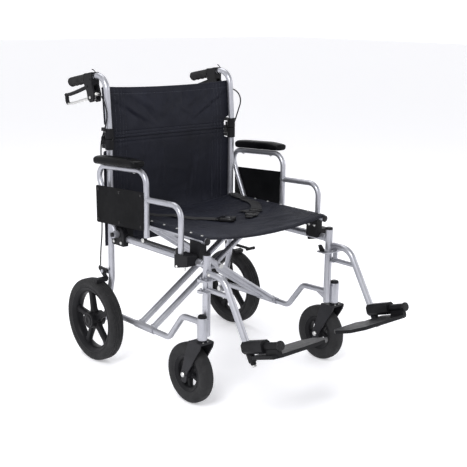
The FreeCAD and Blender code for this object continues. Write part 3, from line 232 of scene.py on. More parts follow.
def grip_rubber():
    shade = Shade("grip_rubber", (0.012, 0.012, 0.013), 0.62, specular_ior_level=0.2)
    shade.tint(shade.noise(40, 5.0), (0.008, 0.008, 0.009), (0.02, 0.02, 0.021))
    shade.bump(shade.voronoi(1300), 0.3, 0.0003)
    return shade.material


def weave(thread=0.0011):
    """Plain-woven navy nylon: crossed threads, a soft sheen and slow colour changes."""
    dark, light = (0.0032, 0.0035, 0.0065), (0.0135, 0.0148, 0.024)
    shade = Shade("navy_nylon", light, 0.55, specular_ior_level=0.16, sheen_weight=0.04, sheen_roughness=0.4,
                  sheen_tint=(0.6, 0.65, 0.85, 1))
    cloth = shade.cut_axes()
    warp = shade.wave(thread, cloth, 0.3, "X")
    weft = shade.wave(thread, cloth, 0.3, "Y")
    crossed = shade.math("ADD", shade.math("MULTIPLY", warp, 0.5), shade.math("MULTIPLY", weft, 0.5))
    slow = shade.noise(7, 5.0, 0.6)
    shade.tint(shade.math("ADD", shade.math("MULTIPLY", crossed, 0.35), shade.math("MULTIPLY", slow, 0.65)),
               dark, light, 0.3, 0.72)
    shade.gloss(shade.noise(16, 4.0), 0.5, 0.72)
    shade.bump(crossed, 0.35, 0.0005)
    shade.bump(shade.noise(240, 4.0, 0.6), 0.2, 0.0006)
    return shade.material


def webbing():
    shade = Shade("belt_webbing", (0.01, 0.01, 0.012), 0.6, specular_ior_level=0.25, sheen_weight=0.05)
    cloth = shade.cut_axes(0.6)
    twill = shade.wave(0.0024, cloth, 0.6)
    shade.tint(twill, (0.004, 0.004, 0.005), (0.017, 0.017, 0.02))
    shade.bump(twill, 0.5, 0.0006)
    return shade.material


def pad_skin():
    shade = Shade("pad_skin", (0.006, 0.006, 0.007), 0.36, specular_ior_level=0.03, coat_weight=0.06,
                  coat_roughness=0.12)
    shade.tint(shade.noise(12, 5.0), (0.003, 0.003, 0.0034), (0.0072, 0.0073, 0.0082))
    shade.gloss(shade.noise(30, 5.0), 0.24, 0.4)
    shade.bump(shade.voronoi(750), 0.16, 0.0004)
    shade.bump(shade.noise(160, 4.0), 0.1, 0.0006)
    return shade.material


def bare_metal(name, color, rough):
    shade = Shade(name, color, rough, 1.0)
    shade.soften_edges(0.0005)
    dark = tuple(channel * 0.72 for channel in color)
    shade.tint(shade.noise(90, 5.0), dark, color)
    shade.gloss(shade.noise(140, 4.0), rough - 0.08, rough + 0.14)
    shade.bump(shade.noise(700, 3.0), 0.12, 0.0003)
    return shade.material


def thread_material():
    shade = Shade("stitch_thread", (0.03, 0.032, 0.042), 0.55, specular_ior_level=0.3, sheen_weight=0.1)
    shade.tint(shade.noise(900, 2.0), (0.03, 0.033, 0.046), (0.06, 0.064, 0.085))
    shade.bump(shade.noise(2500, 2.0), 0.3, 0.0002)
    return shade.material


PAINT = frame_paint()
PLASTIC = plastic("black_plastic", (0.006, 0.006, 0.007), 0.42)
GLOSS = plastic("gloss_black", (0.006, 0.006, 0.007), 0.24, 900, 0.1)
PANEL = plastic("panel_plastic", (0.0028, 0.0029, 0.0034), 0.53, 700, 0.3)
FORK = plastic("fork_enamel", (0.012, 0.012, 0.014), 0.38, 420, 0.12)
RUBBER = rubber("tyre_rubber", True)
SMOOTH_RUBBER = rubber("caster_rubber", False)
GRIP = grip_rubber()
CLOTH = weave()
WEB = webbing()
SKIN = pad_skin()
ZINC = bare_metal("zinc_plate", (0.66, 0.66, 0.65), 0.3)
SHEATH = plastic("cable_sheath", (0.007, 0.007, 0.008), 0.36, 600, 0.1)
WHITE = plastic("pale_plastic", (0.62, 0.62, 0.60), 0.4, 900, 0.1)
THREAD = thread_material()

# the materials listed for each of the record's slots, the plain one first; only the plain one is read, for
# the carried CAD nodes
SLOTS = {
    "frame_paint": [PAINT],
    "black_plastic": [PLASTIC, GLOSS, PANEL, FORK],
    "tyre_rubber": [RUBBER, SMOOTH_RUBBER],
    "grip_rubber": [GRIP],
    "nylon": [CLOTH, WEB, THREAD],
    "pad_vinyl": [SKIN],
    "zinc_steel": [ZINC],
    "cable_sheath": [SHEATH],
}

# ---------------- mesh helpers


def add_mesh(name, vertices, faces, material, body=None, uvs=None, smooth=True):
    """A piece from vertices and faces; uvs holds one pair for each corner of each face."""
    mesh = bpy.data.meshes.new(name)
    mesh.from_pydata([tuple(v) for v in vertices], [], faces)
    if uvs is not None:
        layer = mesh.uv_layers.new(name="UVMap")
        flat = np.array(uvs, np.float32).reshape(-1)
        layer.data.foreach_set("uv", flat)
    mesh.polygons.foreach_set("use_smooth", [smooth] * len(faces))
    mesh.materials.append(material)
    mesh.update()
    obj = bpy.data.objects.new(name, mesh)
    bpy.context.scene.collection.objects.link(obj)
    if body:
        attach(obj, body)
    return obj


def ring_faces(rings, around, first=0):
    """Quads between successive rings of vertices, and a cap at each end."""
    faces = []
    for ring in range(rings - 1):
        base = first + ring * around
        for k in range(around):
            nxt = (k + 1) % around
            faces.append((base + k, base + nxt, base + around + nxt, base + around + k))
    faces.append(tuple(first + k for k in reversed(range(around))))
    last = first + (rings - 1) * around
    faces.append(tuple(last + k for k in range(around)))
    return faces


def turned_faces(steps, count, spans):
    """Quads round a shape turned about an axis, which has count points at each step."""
    faces = []
    for step in range(steps):
        here, there = step * count, (step + 1) % steps * count
        for k in range(spans):
            nxt = (k + 1) % count
            faces.append((here + k, here + nxt, there + nxt, there + k))
    return faces


def chaikin(points, rounds=4):
    """A smooth line that has the given points as its control points."""
    line = [Vector(p) for p in points]
    for _ in range(rounds):
        finer = [line[0]]
        for a, b in zip(line, line[1:]):
            finer += [a * 0.75 + b * 0.25, a * 0.25 + b * 0.75]
        finer.append(line[-1])
        line = finer
    return line


def resample(line, step):
    """The same line at even steps."""
    lengths = [0.0]
    for a, b in zip(line, line[1:]):
        lengths.append(lengths[-1] + (b - a).length)
    count = max(2, int(round(lengths[-1] / step)) + 1)
    wanted = np.linspace(0, lengths[-1], count)
    array = np.array([tuple(p) for p in line])
    columns = [np.interp(wanted, lengths, array[:, axis]) for axis in range(3)]
    return [Vector(p) for p in zip(*columns)]


def circle(radius, count=16):
    return [(radius * cos(TAU * k / count), radius * sin(TAU * k / count)) for k in range(count)]


def directions_round(axis, count):
    """Unit directions square to an axis, evenly round it."""
    first = axis.orthogonal().normalized()
    second = axis.cross(first)
    return [first * u + second * v for u, v in circle(1, count)]


def superellipse(half_u, half_v, power, count):
    points = []
    for c, s in circle(1, count):
        u = copysign(abs(c) ** (2 / power), c) * half_u
        v = copysign(abs(s) ** (2 / power), s) * half_v
        points.append((u, v))
    return points


def smooth_line(points, step):
    return resample(chaikin(points), step)


def sweep(name, line, section, material, body=None, up=None):
    """A section carried along a line; section(share, index) may change on the way."""
    last = len(line) - 1
    tangents = [(line[min(k + 1, last)] - line[max(k - 1, 0)]).normalized() for k in range(last + 1)]
    reference = Vector(up or (0.31, 0.17, 0.93))
    if up is None and abs(reference.dot(tangents[0])) > 0.9:
        reference = Vector((1, 0, 0))
    across = reference.cross(tangents[0]).normalized()
    rings, runs = [], [0.0]
    for index, (place, tangent) in enumerate(zip(line, tangents)):
        if up is not None:
            across = reference.cross(tangent).normalized()
        else:
            across = (across - tangent * across.dot(tangent)).normalized()
        upward = tangent.cross(across)
        outline = section(index / last, index) if callable(section) else section
        rings.append([place + across * u + upward * v for u, v in outline])
        if index:
            runs.append(runs[-1] + (place - line[index - 1]).length)
    around = len(rings[0])
    girth = [0.0]
    for a, b in zip(rings[0], rings[0][1:] + rings[0][:1]):
        girth.append(girth[-1] + (b - a).length)
    uvs = []
    for ring in range(last):
        for k in range(around):
            uvs += [(girth[k], runs[ring]), (girth[k + 1], runs[ring]),
                    (girth[k + 1], runs[ring + 1]), (girth[k], runs[ring + 1])]
    uvs += [(0, 0)] * (2 * around)
    vertices = [vertex for ring in rings for vertex in ring]
    return add_mesh(name, vertices, ring_faces(len(rings), around), material, body, uvs)


def bar(name, points, radius, material, body=None, step=0.004, count=14, flat=1.0, up=None):
    """A rounded bar along a smooth line; flat below 1 makes its section an oval."""
    line = smooth_line(points, step)
    outline = [(u, v * flat) for u, v in circle(radius, count)]

    def section(share, index):
        reach = min(index, len(line) - 1 - index)
        shrink = (0.55, 0.88, 1.0)[min(reach, 2)]
        return [(u * shrink, v * shrink) for u, v in outline]

    return sweep(name, line, section, material, body, up)


def lathe(name, profile, centre, axis, material, body=None, segments=96, closed=True):
    """A profile of (place along the axis, radius), in millimetres, turned about an axis through centre."""
    axis = Vector(axis).normalized()
    vertices = []
    for out in directions_round(axis, segments):
        vertices += [Vector(centre) + (axis * place + out * radius) * MM for place, radius in profile]
    loop = profile + profile[:1] if closed else profile
    lengths = [0.0]
    for (a, r), (b, s) in zip(loop, loop[1:]):
        lengths.append(lengths[-1] + hypot(b - a, s - r) * MM)
    girth = TAU * max(radius for _, radius in profile) * MM
    spans = len(loop) - 1
    uvs = []
    for step in range(segments):
        u0, u1 = girth * step / segments, girth * (step + 1) / segments
        for k in range(spans):
            uvs += [(u0, lengths[k]), (u0, lengths[k + 1]), (u1, lengths[k + 1]), (u1, lengths[k])]
    return add_mesh(name, vertices, turned_faces(segments, len(profile), spans), material, body, uvs)


def solid_of_turn(name, profile, centre, axis, material, body=None, segments=32):
    """A lathe shape whose profile starts and ends on the axis."""
    profile = [(place, max(radius, 0.001)) for place, radius in profile]
    return lathe(name, profile, centre, axis, material, body, segments, closed=False)


def hex_bolt(name, centre, axis, across, height, body):
    """Hexagon head with a chamfered crown, standing on centre along axis; sizes in millimetres."""
    axis = Vector(axis).normalized()
    vertices = []
    for level, share in ((0.0, 1.0), (0.78, 1.0), (1.0, 0.84), (1.02, 0.3)):
        for out in directions_round(axis, 6):
            vertices.append(Vector(centre) + (axis * (level * height) + out * (across * share)) * MM)
    return add_mesh(name, vertices, ring_faces(4, 6), ZINC, body, smooth=False)


def dome_screw(name, centre, axis, radius, body, material=ZINC, washer=True):
    """Pan-head screw with a round recess, on a washer; its profile is in shares of the radius."""
    foot = [(0.0, 1.45), (0.16, 1.45), (0.18, 1.0)] if washer else [(0.0, 1.0)]
    profile = [(0.0, 0.0), *foot, (0.42, 0.96), (0.62, 0.72), (0.7, 0.42), (0.52, 0.3), (0.52, 0.0)]
    profile = [(place * radius, reach * radius) for place, reach in profile]
    return solid_of_turn(name, profile, centre, axis, material, body, 20)


def wave_sum(seed, count, low, high):
    """A repeatable sum of slow waves for soft unevenness."""
    draw = random.Random(seed).uniform
    terms = [(draw(low, high), draw(low, high), draw(0, TAU), draw(0.4, 1)) for _ in range(count)]

    def value(u, v):
        return sum(w * sin(a * u + b * v + p) for a, b, p, w in terms) / count

    return value


CLOTH_T = 0.0026


def clamp(value):
    return min(max(value, 0), 1)


def smooth(value, start, run):
    """From 0 at start to 1 after run, with level ends."""
    share = clamp((value - start) / run)
    return share * share * (3 - 2 * share)


def bell(value, place, width):
    return exp(-((value - place) / width) ** 2)


def ridge(u, v, start, end, width, height):
    """Height of one soft fold that runs from start to end and fades a little beyond them."""
    dx, dy = end[0] - start[0], end[1] - start[1]
    length = hypot(dx, dy)
    share = ((u - start[0]) * dx + (v - start[1]) * dy) / length ** 2
    off = ((u - start[0]) * dy - (v - start[1]) * dx) / length
    if share < -0.1 or share > 1.1:
        return 0.0
    fade = sin(pi * clamp((share + 0.1) / 1.2)) ** 0.7
    return height * fade * bell(off, 0, width)


def sling(name, count_u, count_v, surface, body, node):
    """A closed sheet in place of a CAD node; surface(s, t) gives a point and its place on the flat cut."""
    made = [[surface(i / (count_u - 1), j / (count_v - 1)) for i in range(count_u)] for j in range(count_v)]
    grid = np.array([[tuple(point) for point, _ in row] for row in made])
    flat = [place for row in made for _, place in row]
    normal = np.cross(np.gradient(grid, axis=1), np.gradient(grid, axis=0))
    normal /= np.linalg.norm(normal, axis=2, keepdims=True)
    half = np.full((count_v, count_u, 1), CLOTH_T / 2)
    half[0], half[-1], half[:, 0], half[:, -1] = (CLOTH_T / 5,) * 4
    vertices = np.concatenate([(grid + normal * half).reshape(-1, 3), (grid - normal * half).reshape(-1, 3)])
    size = count_u * count_v
    faces = []
    for j in range(count_v - 1):
        for i in range(count_u - 1):
            a = j * count_u + i
            quad = (a, a + 1, a + count_u + 1, a + count_u)
            faces += [quad, tuple(k + size for k in reversed(quad))]
    border = list(range(count_u)) + [j * count_u + count_u - 1 for j in range(1, count_v)]
    border += [(count_v - 1) * count_u + i for i in reversed(range(count_u - 1))]
    border += [j * count_u for j in reversed(range(1, count_v - 1))]
    for a, b in zip(border, border[1:] + border[:1]):
        faces.append((b, a, a + size, b + size))
    uvs = [flat[k % size] for face in faces for k in face]
    piece = add_mesh(name, vertices, faces, CLOTH, body, uvs)
    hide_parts(node)
    return piece


def on_cloth(surface, lift):
    """Point and normal on one face of a cloth surface."""

    def at(s, t):
        step = 0.002
        across = surface(min(s + step, 1), t)[0] - surface(max(s - step, 0), t)[0]
        along = surface(s, min(t + step, 1))[0] - surface(s, max(t - step, 0))[0]
        normal = across.cross(along).normalized() * copysign(1, lift)
        return surface(s, t)[0] + normal * abs(lift), normal

    return at


# one stitch: share of its length, height above the cloth, share of the thread's radius
STITCH_LEVELS = ((0.0, -0.0004, 0.6), (0.3, 0.0004, 1.0), (0.7, 0.0004, 1.0), (1.0, -0.0004, 0.6))
STITCH_LENGTH, STITCH_GAP = 0.0034, 0.0018
THREAD_SIDES = 5


def stitches(name, lines, surface_point, body, radius=0.00045):
    """Threads on a surface: each line is a list of (s, t); surface_point gives place and normal."""
    vertices, faces = [], []
    for line in lines:
        places = [surface_point(s, t) for s, t in line]
        run, target = 0.0, 0.0
        for (a, normal), (b, _) in zip(places, places[1:]):
            piece = (b - a).length
            direction = (b - a).normalized()
            side = direction.cross(normal).normalized()
            while target < run + piece:
                start = a + direction * (target - run)
                faces += ring_faces(len(STITCH_LEVELS), THREAD_SIDES, len(vertices))
                for share, lift, half in STITCH_LEVELS:
                    middle = start + direction * (share * STITCH_LENGTH) + normal * lift
                    for u, v in circle(radius * half, THREAD_SIDES):
                        vertices.append(middle + side * u + normal * v)
                target += STITCH_LENGTH + STITCH_GAP
            run += piece
    return add_mesh(name, vertices, faces, THREAD, body)


def weld(name, centre, axis, radius, body, bead=1.6, count=72):
    """A rippled bead round a joint between two tubes; sizes in millimetres."""
    axis = Vector(axis).normalized()
    vertices = []
    for step, out in enumerate(directions_round(axis, count)):
        ripple = sin(TAU * step / 4)
        for u, v in circle(bead * (1 + 0.22 * ripple), 8):
            vertices.append(Vector(centre) + (out * (radius + u) + axis * (v * 1.5)) * MM)
    return add_mesh(name, vertices, turned_faces(count, 8, 8), PAINT, body)


def mirrored(profile):
    """A half profile (negative side of the middle) made whole."""
    return profile + [(-u, r) for u, r in reversed(profile)]


# ---------------- carried CAD nodes

BY_NODE = {"side_panel": PANEL, "caster_fork": FORK, "footplate_pin": GLOSS, "armrest_lock": GLOSS}
for name, node in frame["nodes"].items():
    slot_name = node.data.materials[0].name.split(".")[0]
    chosen = SLOTS[slot_name][0]
    for prefix, material in BY_NODE.items():
        if name.startswith(prefix):
            chosen = material
    node.data.materials[0] = chosen

# ---------------- wheels


def spokes(name, centre, side, body, reach, width, depth, first):
    """Five moulded spokes that widen into the hub and the rim, as one piece."""
    inner, outer = reach
    vertices, faces = [], []
    levels, around = 15, 20
    for number in range(5):
        turn = radians(first + 72 * number)
        out = Vector((0, cos(turn), sin(turn)))
        across = Vector((0, -sin(turn), cos(turn)))
        faces += ring_faces(levels, around, len(vertices))
        for level in range(levels):
            share = level / (levels - 1)
            root = max(0.0, 1 - share / 0.25) ** 2
            tip = max(0.0, (share - 0.78) / 0.22) ** 2
            half_w = width * (0.5 + 0.28 * root + 0.36 * tip)
            half_d = depth * (0.5 - 0.1 * share + 0.12 * root + 0.1 * tip)
            place = centre + out * (inner + (outer - inner) * share)
            for u, v in superellipse(half_w, half_d, 3.2, around):
                vertices.append(place + across * u + Vector((side * v, 0, 0)))
    add_mesh(name, vertices, faces, PLASTIC, body)


# profiles of (place along the axle, radius) in millimetres; a mirrored one is given up to its middle
REAR_TYRE = mirrored([
    (-20, 117), (-22.6, 119.5), (-23.6, 122), (-23.2, 124.4), (-24.6, 127), (-25.7, 131), (-26, 135),
    (-25.6, 139), (-24.2, 143), (-21.8, 146.2), (-18.6, 148.3), (-15, 149.3), (-12.4, 149.6), (-12, 147.4),
    (-10.4, 147.4), (-10, 149.8), (-4, 150), (-3.6, 147.8), (-1.8, 147.8), (-1.4, 150),
])
REAR_BARREL = mirrored([
    (-19.5, 117.4), (-21.6, 119.2), (-23.2, 120.4), (-23.6, 118.6), (-21, 113.5), (-18.6, 108), (-15, 103.4),
    (-9, 101), (-3, 100.5),
])
REAR_HUB = [
    (-28.5, 6.2), (-28.5, 25), (-26.5, 27.2), (-12, 28.6), (26, 29.5), (29.6, 29.3), (31, 27.6), (31, 23.6),
    (30.2, 23), (30.2, 21.6), (31, 21), (31, 9), (30.4, 8), (30.4, 0),
]
CASTER_TYRE = mirrored([
    (-15, 60), (-18.4, 61.6), (-19.6, 63.4), (-19.2, 65.6), (-20.6, 70), (-21.5, 77), (-21.4, 84),
    (-20.2, 90), (-17.6, 94.8), (-13.6, 98), (-8.6, 99.6), (-3, 100),
])
CASTER_BARREL = mirrored([
    (-15, 60.4), (-18, 62), (-19.4, 62.2), (-19.6, 60.2), (-18.2, 56), (-16.8, 55), (-16.4, 51), (-13, 47),
    (-7, 46), (-2, 45.8),
])
CASTER_HUB = mirrored([(-23, 5.2), (-23, 12.6), (-21.6, 14), (-16, 16.4), (-8, 18.6)])


def wheel(kind, side, tag, tyre_name, tyre_shape, rubber_kind, barrel_shape, hub_shape, segments, spoke):
    """Tyre, barrel, hub and spokes of one wheel, in the place of its CAD tyre and rim."""
    low, high = (Vector(corner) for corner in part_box(f"{kind}_tyre_{tag}"))
    centre = (low + high) / 2
    body, axle = f"{kind}_wheel_{tag}", (side, 0, 0)
    for_tyre, for_barrel, for_hub = segments
    tyre = lathe(f"{tyre_name}_{tag}", tyre_shape, centre, axle, rubber_kind, body, for_tyre)
    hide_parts(f"{kind}_tyre_{tag}")
    barrel = lathe(f"{kind}_barrel_{tag}", barrel_shape, centre, axle, PLASTIC, body, for_barrel)
    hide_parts(f"{kind}_rim_{tag}")
    lathe(f"{kind}_hub_{tag}", hub_shape, centre, axle, PLASTIC, body, for_hub, closed=False)
    spokes(f"{kind}_spokes_{tag}", centre, side, body, *spoke)


for side, tag in SIDES:
    wheel("rear", side, tag, "rear_tyre_grooved", REAR_TYRE, RUBBER, REAR_BARREL, REAR_HUB, (144, 96, 64),
          ((0.024, 0.104), 0.021, 0.024, 80))
    wheel("caster", side, tag, "caster_tyre_round", CASTER_TYRE, SMOOTH_RUBBER, CASTER_BARREL, CASTER_HUB,
          (112, 80, 48), ((0.014, 0.05), 0.015, 0.018, 54))

# ---------------- armrests

PAD_LENGTH = 244.0
PAD_HALF_WIDTH = 27.0
PAD_HALF_HEIGHT = 15.5
PAD_X, PAD_FRONT_Y, PAD_RISE = 324.5, 62, 25.1
PAD_ENDS = [0, 0.4, 1, 2, 3.5, 5.5, 8, 11, 15, 20, 27, 36, 48]
ARM_SLOPE = 18 / 294


def arm_top(y):
    """Height of the centre of the armrest's top tube, which drops to the rear."""
    return 727 - (y - 44) * ARM_SLOPE


def pad_section(share):
    """Moulded pad: flat underneath, crowned on top, rounded ends and a lower front end."""
    from_front = share * PAD_LENGTH
    from_rear = PAD_LENGTH - from_front

    def rounding(gap, radius):
        reach = min(gap / radius, 1.0)
        return sqrt(max(1 - (1 - reach) ** 2, 0.03))

    ends = min(rounding(from_front, 16), rounding(from_rear, 14))
    drop = min(from_front / 80, 1.0)
    tail = min(from_rear / 60, 1.0)
    top = PAD_HALF_HEIGHT - 8.5 * (1 - drop) ** 2 - 3.0 * (1 - tail) ** 2
    waist = 1 - 0.02 * sin(pi * share)
    outline = []
    for u, v in superellipse(PAD_HALF_WIDTH, 1.0, 3.0, 40):
        if v > 0:
            height = v * top * (0.55 + 0.45 * ends) - 1.5 * (u / PAD_HALF_WIDTH) ** 2
        else:
            height = v * PAD_HALF_HEIGHT * (0.7 + 0.3 * ends)
        seam = 0.985 if -0.5 < v < -0.2 else 1.0
        outline.append((u * ends ** 0.6 * waist * seam * MM, height * MM))
    return outline


def arm_pad(side, tag):
    """The moulded pad lies along the sloping top tube; its sections are close together at the ends."""
    tilt = atan(ARM_SLOPE)
    front = at_side(side, PAD_X, PAD_FRONT_Y, arm_top(PAD_FRONT_Y) + PAD_RISE)
    along = Vector((0, cos(tilt), -sin(tilt)))
    places = PAD_ENDS + list(np.linspace(60, PAD_LENGTH - 60, 12))
    places += [PAD_LENGTH - gap for gap in reversed(PAD_ENDS)]
    line = [front + along * (place * MM) for place in places]
    pad = sweep(f"arm_pad_moulded_{tag}", line, lambda share, index: pad_section(places[index] / PAD_LENGTH),
                SKIN, f"armrest_{tag}", up=(0, 0, 1))
    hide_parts(f"armrest_pad_{tag}")


for side, tag in SIDES:
    arm_pad(side, tag)
    solid_of_turn(f"lock_knob_cap_{tag}", [(-0.5, 0), (-0.5, 8), (1, 8), (2, 6.5), (2.4, 0)],
                  at_side(side, ARM_X, 66, 491), (side, 0, 0), ZINC, f"armrest_lock_{tag}")
    weld(f"arm_weld_step_{tag}", at_side(side, ARM_X, 34.4, 633.4), (0, 1, 0), 9.6, f"armrest_{tag}", 1.3)

# ---------------- push handles and hand brakes


def handle_at(y):
    """Height of the push handle's centre line."""
    return 1013 - (y - 368) * 0.19


GRIP_LENGTH = 102.0


def grip_section(share, index):
    """Ribbed grip: rings on top, four finger bumps underneath, a flange at the front."""
    place = share * GRIP_LENGTH
    if place < 4.5:
        base = 18.0
    elif place > GRIP_LENGTH - 3:
        base = 16.2 * sqrt(max(1 - ((place - GRIP_LENGTH + 3) / 3.4) ** 2, 0.04))
    else:
        base = 15.6 + 0.6 * min(max(sin(TAU * place / 5.2) * 2.2, -1), 1)
    fingers = 0.0
    if 6 < place < GRIP_LENGTH - 4:
        fingers = 2.2 * (0.5 + 0.5 * cos(TAU * (place - 18) / 25.5))
    outline = []
    for k in range(40):
        turn = TAU * k / 40
        below = max(-sin(turn), 0.0) ** 1.4
        radius = (base + fingers * below) * MM
        outline.append((radius * cos(turn), radius * sin(turn)))
    return outline


def lever_section(share, index):
    """Moulded upper branch of the lever, with finger teeth underneath."""
    tooth = 0.0022 * max(sin(TAU * index / 6), 0) if 0.25 < share < 0.9 else 0
    end = min(index, 3) / 3 * 0.4 + 0.6
    return [(u * end - (tooth if u < -0.003 else 0), v * 1.15 * end) for u, v in circle(0.0058, 18)]


CABLE_BOW = {"right": 0, "left": 26}


def cable_route(bow):
    """From the lever down to the wheel brake; the left cable bows outward between its clips."""
    return [
        (291, 350, 952), (293.5, 330, 951), (297.5 + 0.7 * bow, 306, 938), (296 + bow, 290, 905),
        (296 + 0.35 * bow, 289, 866), (301, 300, 830), (302, 318, 795), (293, 335, 745), (292, 336, 470),
        (300, 338.5, 400), (301, 338.5, 345.5),
    ]


def cable_line(name, points):
    """The smooth line of a cable, as points read from its spline."""
    curve = bpy.data.curves.new(name, "CURVE")
    curve.dimensions = "3D"
    curve.resolution_u = 14
    spline = curve.splines.new("NURBS")
    spline.points.add(len(points) - 1)
    for control, point in zip(spline.points, points):
        control.co = (*point, 1)
    spline.order_u = 3
    spline.use_endpoint_u = True
    holder = bpy.data.objects.new(name, curve)
    mesh = bpy.data.meshes.new_from_object(holder)
    line = [vertex.co.copy() for vertex in mesh.vertices]
    bpy.data.objects.remove(holder)
    return line


# the lever seen from the side: (y, z) of its plated loop, its moulded upper branch and its moulded tip
LEVER_LOOP = [
    (380, 944), (386, 932), (402, 930), (426, 930), (480, 917), (536, 903), (554, 901.5), (564, 906),
    (568, 914),
]
LEVER_SLEEVE = [
    (386, 942), (400, 958), (418, 969), (436, 970), (454, 964.5), (500, 949.5), (546, 937), (560, 934),
    (566, 932),
]
LEVER_TIP = [(577, 934), (569, 932), (567, 925), (567, 914), (562, 904), (552, 901.5)]
LEVER_PIVOT = (388, 938)
MOUNT_FACE_X = POST_X + 16


def hand_grip(side, tag):
    """Ribbed rubber on the end of the push handle."""
    line = [mm(side * POST_X, y, handle_at(y)) for y in np.linspace(434, 536, 160)]
    grip = sweep(f"grip_ribbed_{tag}", line, grip_section, GRIP, f"cane_{tag}", up=(0, 0, 1))
    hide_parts(f"handle_grip_{tag}")


def brake_lever(side, tag):
    """Plated loop with a moulded sleeve and tip, on a pivot in the lever mount."""
    x, cane, body = side * POST_X, f"cane_{tag}", f"brake_lever_{tag}"
    loop, sleeve, tip = ([mm(x, y, z) for y, z in points] for points in (LEVER_LOOP, LEVER_SLEEVE, LEVER_TIP))
    plated = bar(f"lever_loop_{tag}", loop, 0.0052, ZINC, body, 0.003, 16, 1.25, up=(1, 0, 0))
    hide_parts(f"brake_lever_{tag}")
    sweep(f"lever_sleeve_{tag}", smooth_line(sleeve, 0.0015), lever_section, PLASTIC, body, up=(1, 0, 0))
    bar(f"lever_tip_{tag}", tip, 0.0066, PLASTIC, body, 0.003, 16, 1.15, up=(1, 0, 0))
    boss = mirrored([(-7.2, 0), (-7.2, 7), (-6.2, 8)])
    solid_of_turn(f"lever_boss_{tag}", boss, mm(x, *LEVER_PIVOT), (1, 0, 0), GLOSS, body)
    hex_bolt(f"lever_bolt_{tag}", at_side(side, MOUNT_FACE_X, *LEVER_PIVOT), (side, 0, 0), 5.5, 4, cane)
    dome_screw(f"lever_pin_end_{tag}", at_side(side, POST_X - 16, *LEVER_PIVOT), (-side, 0, 0), 4.5, cane)


def brake_cable(side, tag):
    """The sheathed cable, which bends at the back joint, and its adjuster with two lock rings."""
    cane = f"cane_{tag}"
    points = [at_side(side, *point) for point in cable_route(CABLE_BOW[tag])]
    line = resample(cable_line(f"cable_line_{tag}", points), 0.004)
    cable = sweep(f"cable_sheath_{tag}", line, circle(0.0025, 12), SHEATH)
    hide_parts(f"brake_cable_{tag}")
    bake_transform(cable)
    exit_place, forward = at_side(side, 291, 356, 952), (0, -1, 0)
    adjuster = [(-9, 0), (-9, 4.2), (-4, 4.2), (-4, 5.4), (1, 5.4), (1, 3.6), (3, 3.6), (3, 5.0), (8, 5.0),
                (8, 3.2), (13, 3.0), (13, 0)]
    solid_of_turn(f"cable_adjuster_{tag}", adjuster, exit_place, forward, WHITE, cane, 24)
    for ring, place in enumerate((6, 9.5)):
        profile = [(place - 1, 3.2), (place - 1, 5.6), (place + 1, 5.6), (place + 1, 3.2)]
        lathe(f"adjuster_ring_{tag}_{ring}", profile, exit_place, forward, ZINC, cane, 24)


def cable_tie(side, tag):
    """Tie round the tube in front of the lever mount, with its cut tail standing up."""
    cane = f"cane_{tag}"
    tie_at = at_side(side, POST_X, 373, handle_at(373))
    tie_axis = Vector((0, 0.982, -0.187))
    band = [(-1.8, 11.2), (-1.8, 12.4), (1.8, 12.4), (1.8, 11.2)]
    lathe(f"cable_tie_{tag}", band, tie_at, tie_axis, GLOSS, cane, 40)
    tail = [tie_at + at_side(side, *step) for step in ((3, 0, 11.2), (4, 4, 17), (5, 11, 21), (6, 19, 22))]
    strip = [(0.0016, 0.0005), (-0.0016, 0.0005), (-0.0016, -0.0005), (0.0016, -0.0005)]
    sweep(f"cable_tie_tail_{tag}", smooth_line(tail, 0.002), strip, GLOSS, cane, up=(side, 0, 0))


for side, tag in SIDES:
    hand_grip(side, tag)
    brake_lever(side, tag)
    brake_cable(side, tag)
    cable_tie(side, tag)

# ---------------- frame details


def seat_rail_body(side):
    """The seat rail on one side belongs to the brace whose foot is on the other side."""
    return "cross_brace_a" if side > 0 else "cross_brace_b"


def frame_details(side, tag):
    """Welds of the side frame, and the caps of the seat rail."""
    body = f"side_frame_{tag}"
    weld(f"weld_rail_rear_{tag}", at_side(side, POST_X, 288, 465), (0, 1, 0), 12.9, body)
    weld(f"weld_rail_front_{tag}", at_side(side, POST_X, -213.6, 465), (0, 1, 0), 12.9, body)
    weld(f"weld_axle_boss_{tag}", at_side(side, 288, 338, 150), (1, 0, 0), 12.2, body)
    cap = [(-1, 0), (-1, 11.6), (1.2, 11.8), (2.6, 10.6), (3.6, 6), (3.8, 0)]
    for end, y, facing in (("front", -215, -1), ("rear", 275, 1)):
        solid_of_turn(f"rail_cap_{end}_{tag}", cap, at_side(side, RAIL_X, y, RAIL_Z), (0, facing, 0),
                      GLOSS, seat_rail_body(side), 32)


def brace_welds(side, tag):
    """Both tubes of one brace, welded to the lower rail on this side and the seat rail on the other."""
    body = seat_rail_body(-side)
    slope = Vector((-side * (POST_X + RAIL_X), 0, RAIL_Z - LOWER_RAIL_Z)).normalized()
    first = 65 if side < 0 else 41
    for number in range(2):
        y = first + BRACE_PAIR * number
        foot, head = at_side(side, POST_X, y, LOWER_RAIL_Z), at_side(-side, RAIL_X, y, RAIL_Z)
        weld(f"brace_weld_foot_{tag}_{number}", foot + slope * 0.0132, slope, 11.2, body, 1.8)
        weld(f"brace_weld_head_{tag}_{number}", head - slope * 0.0118, slope, 11.2, body, 1.7)


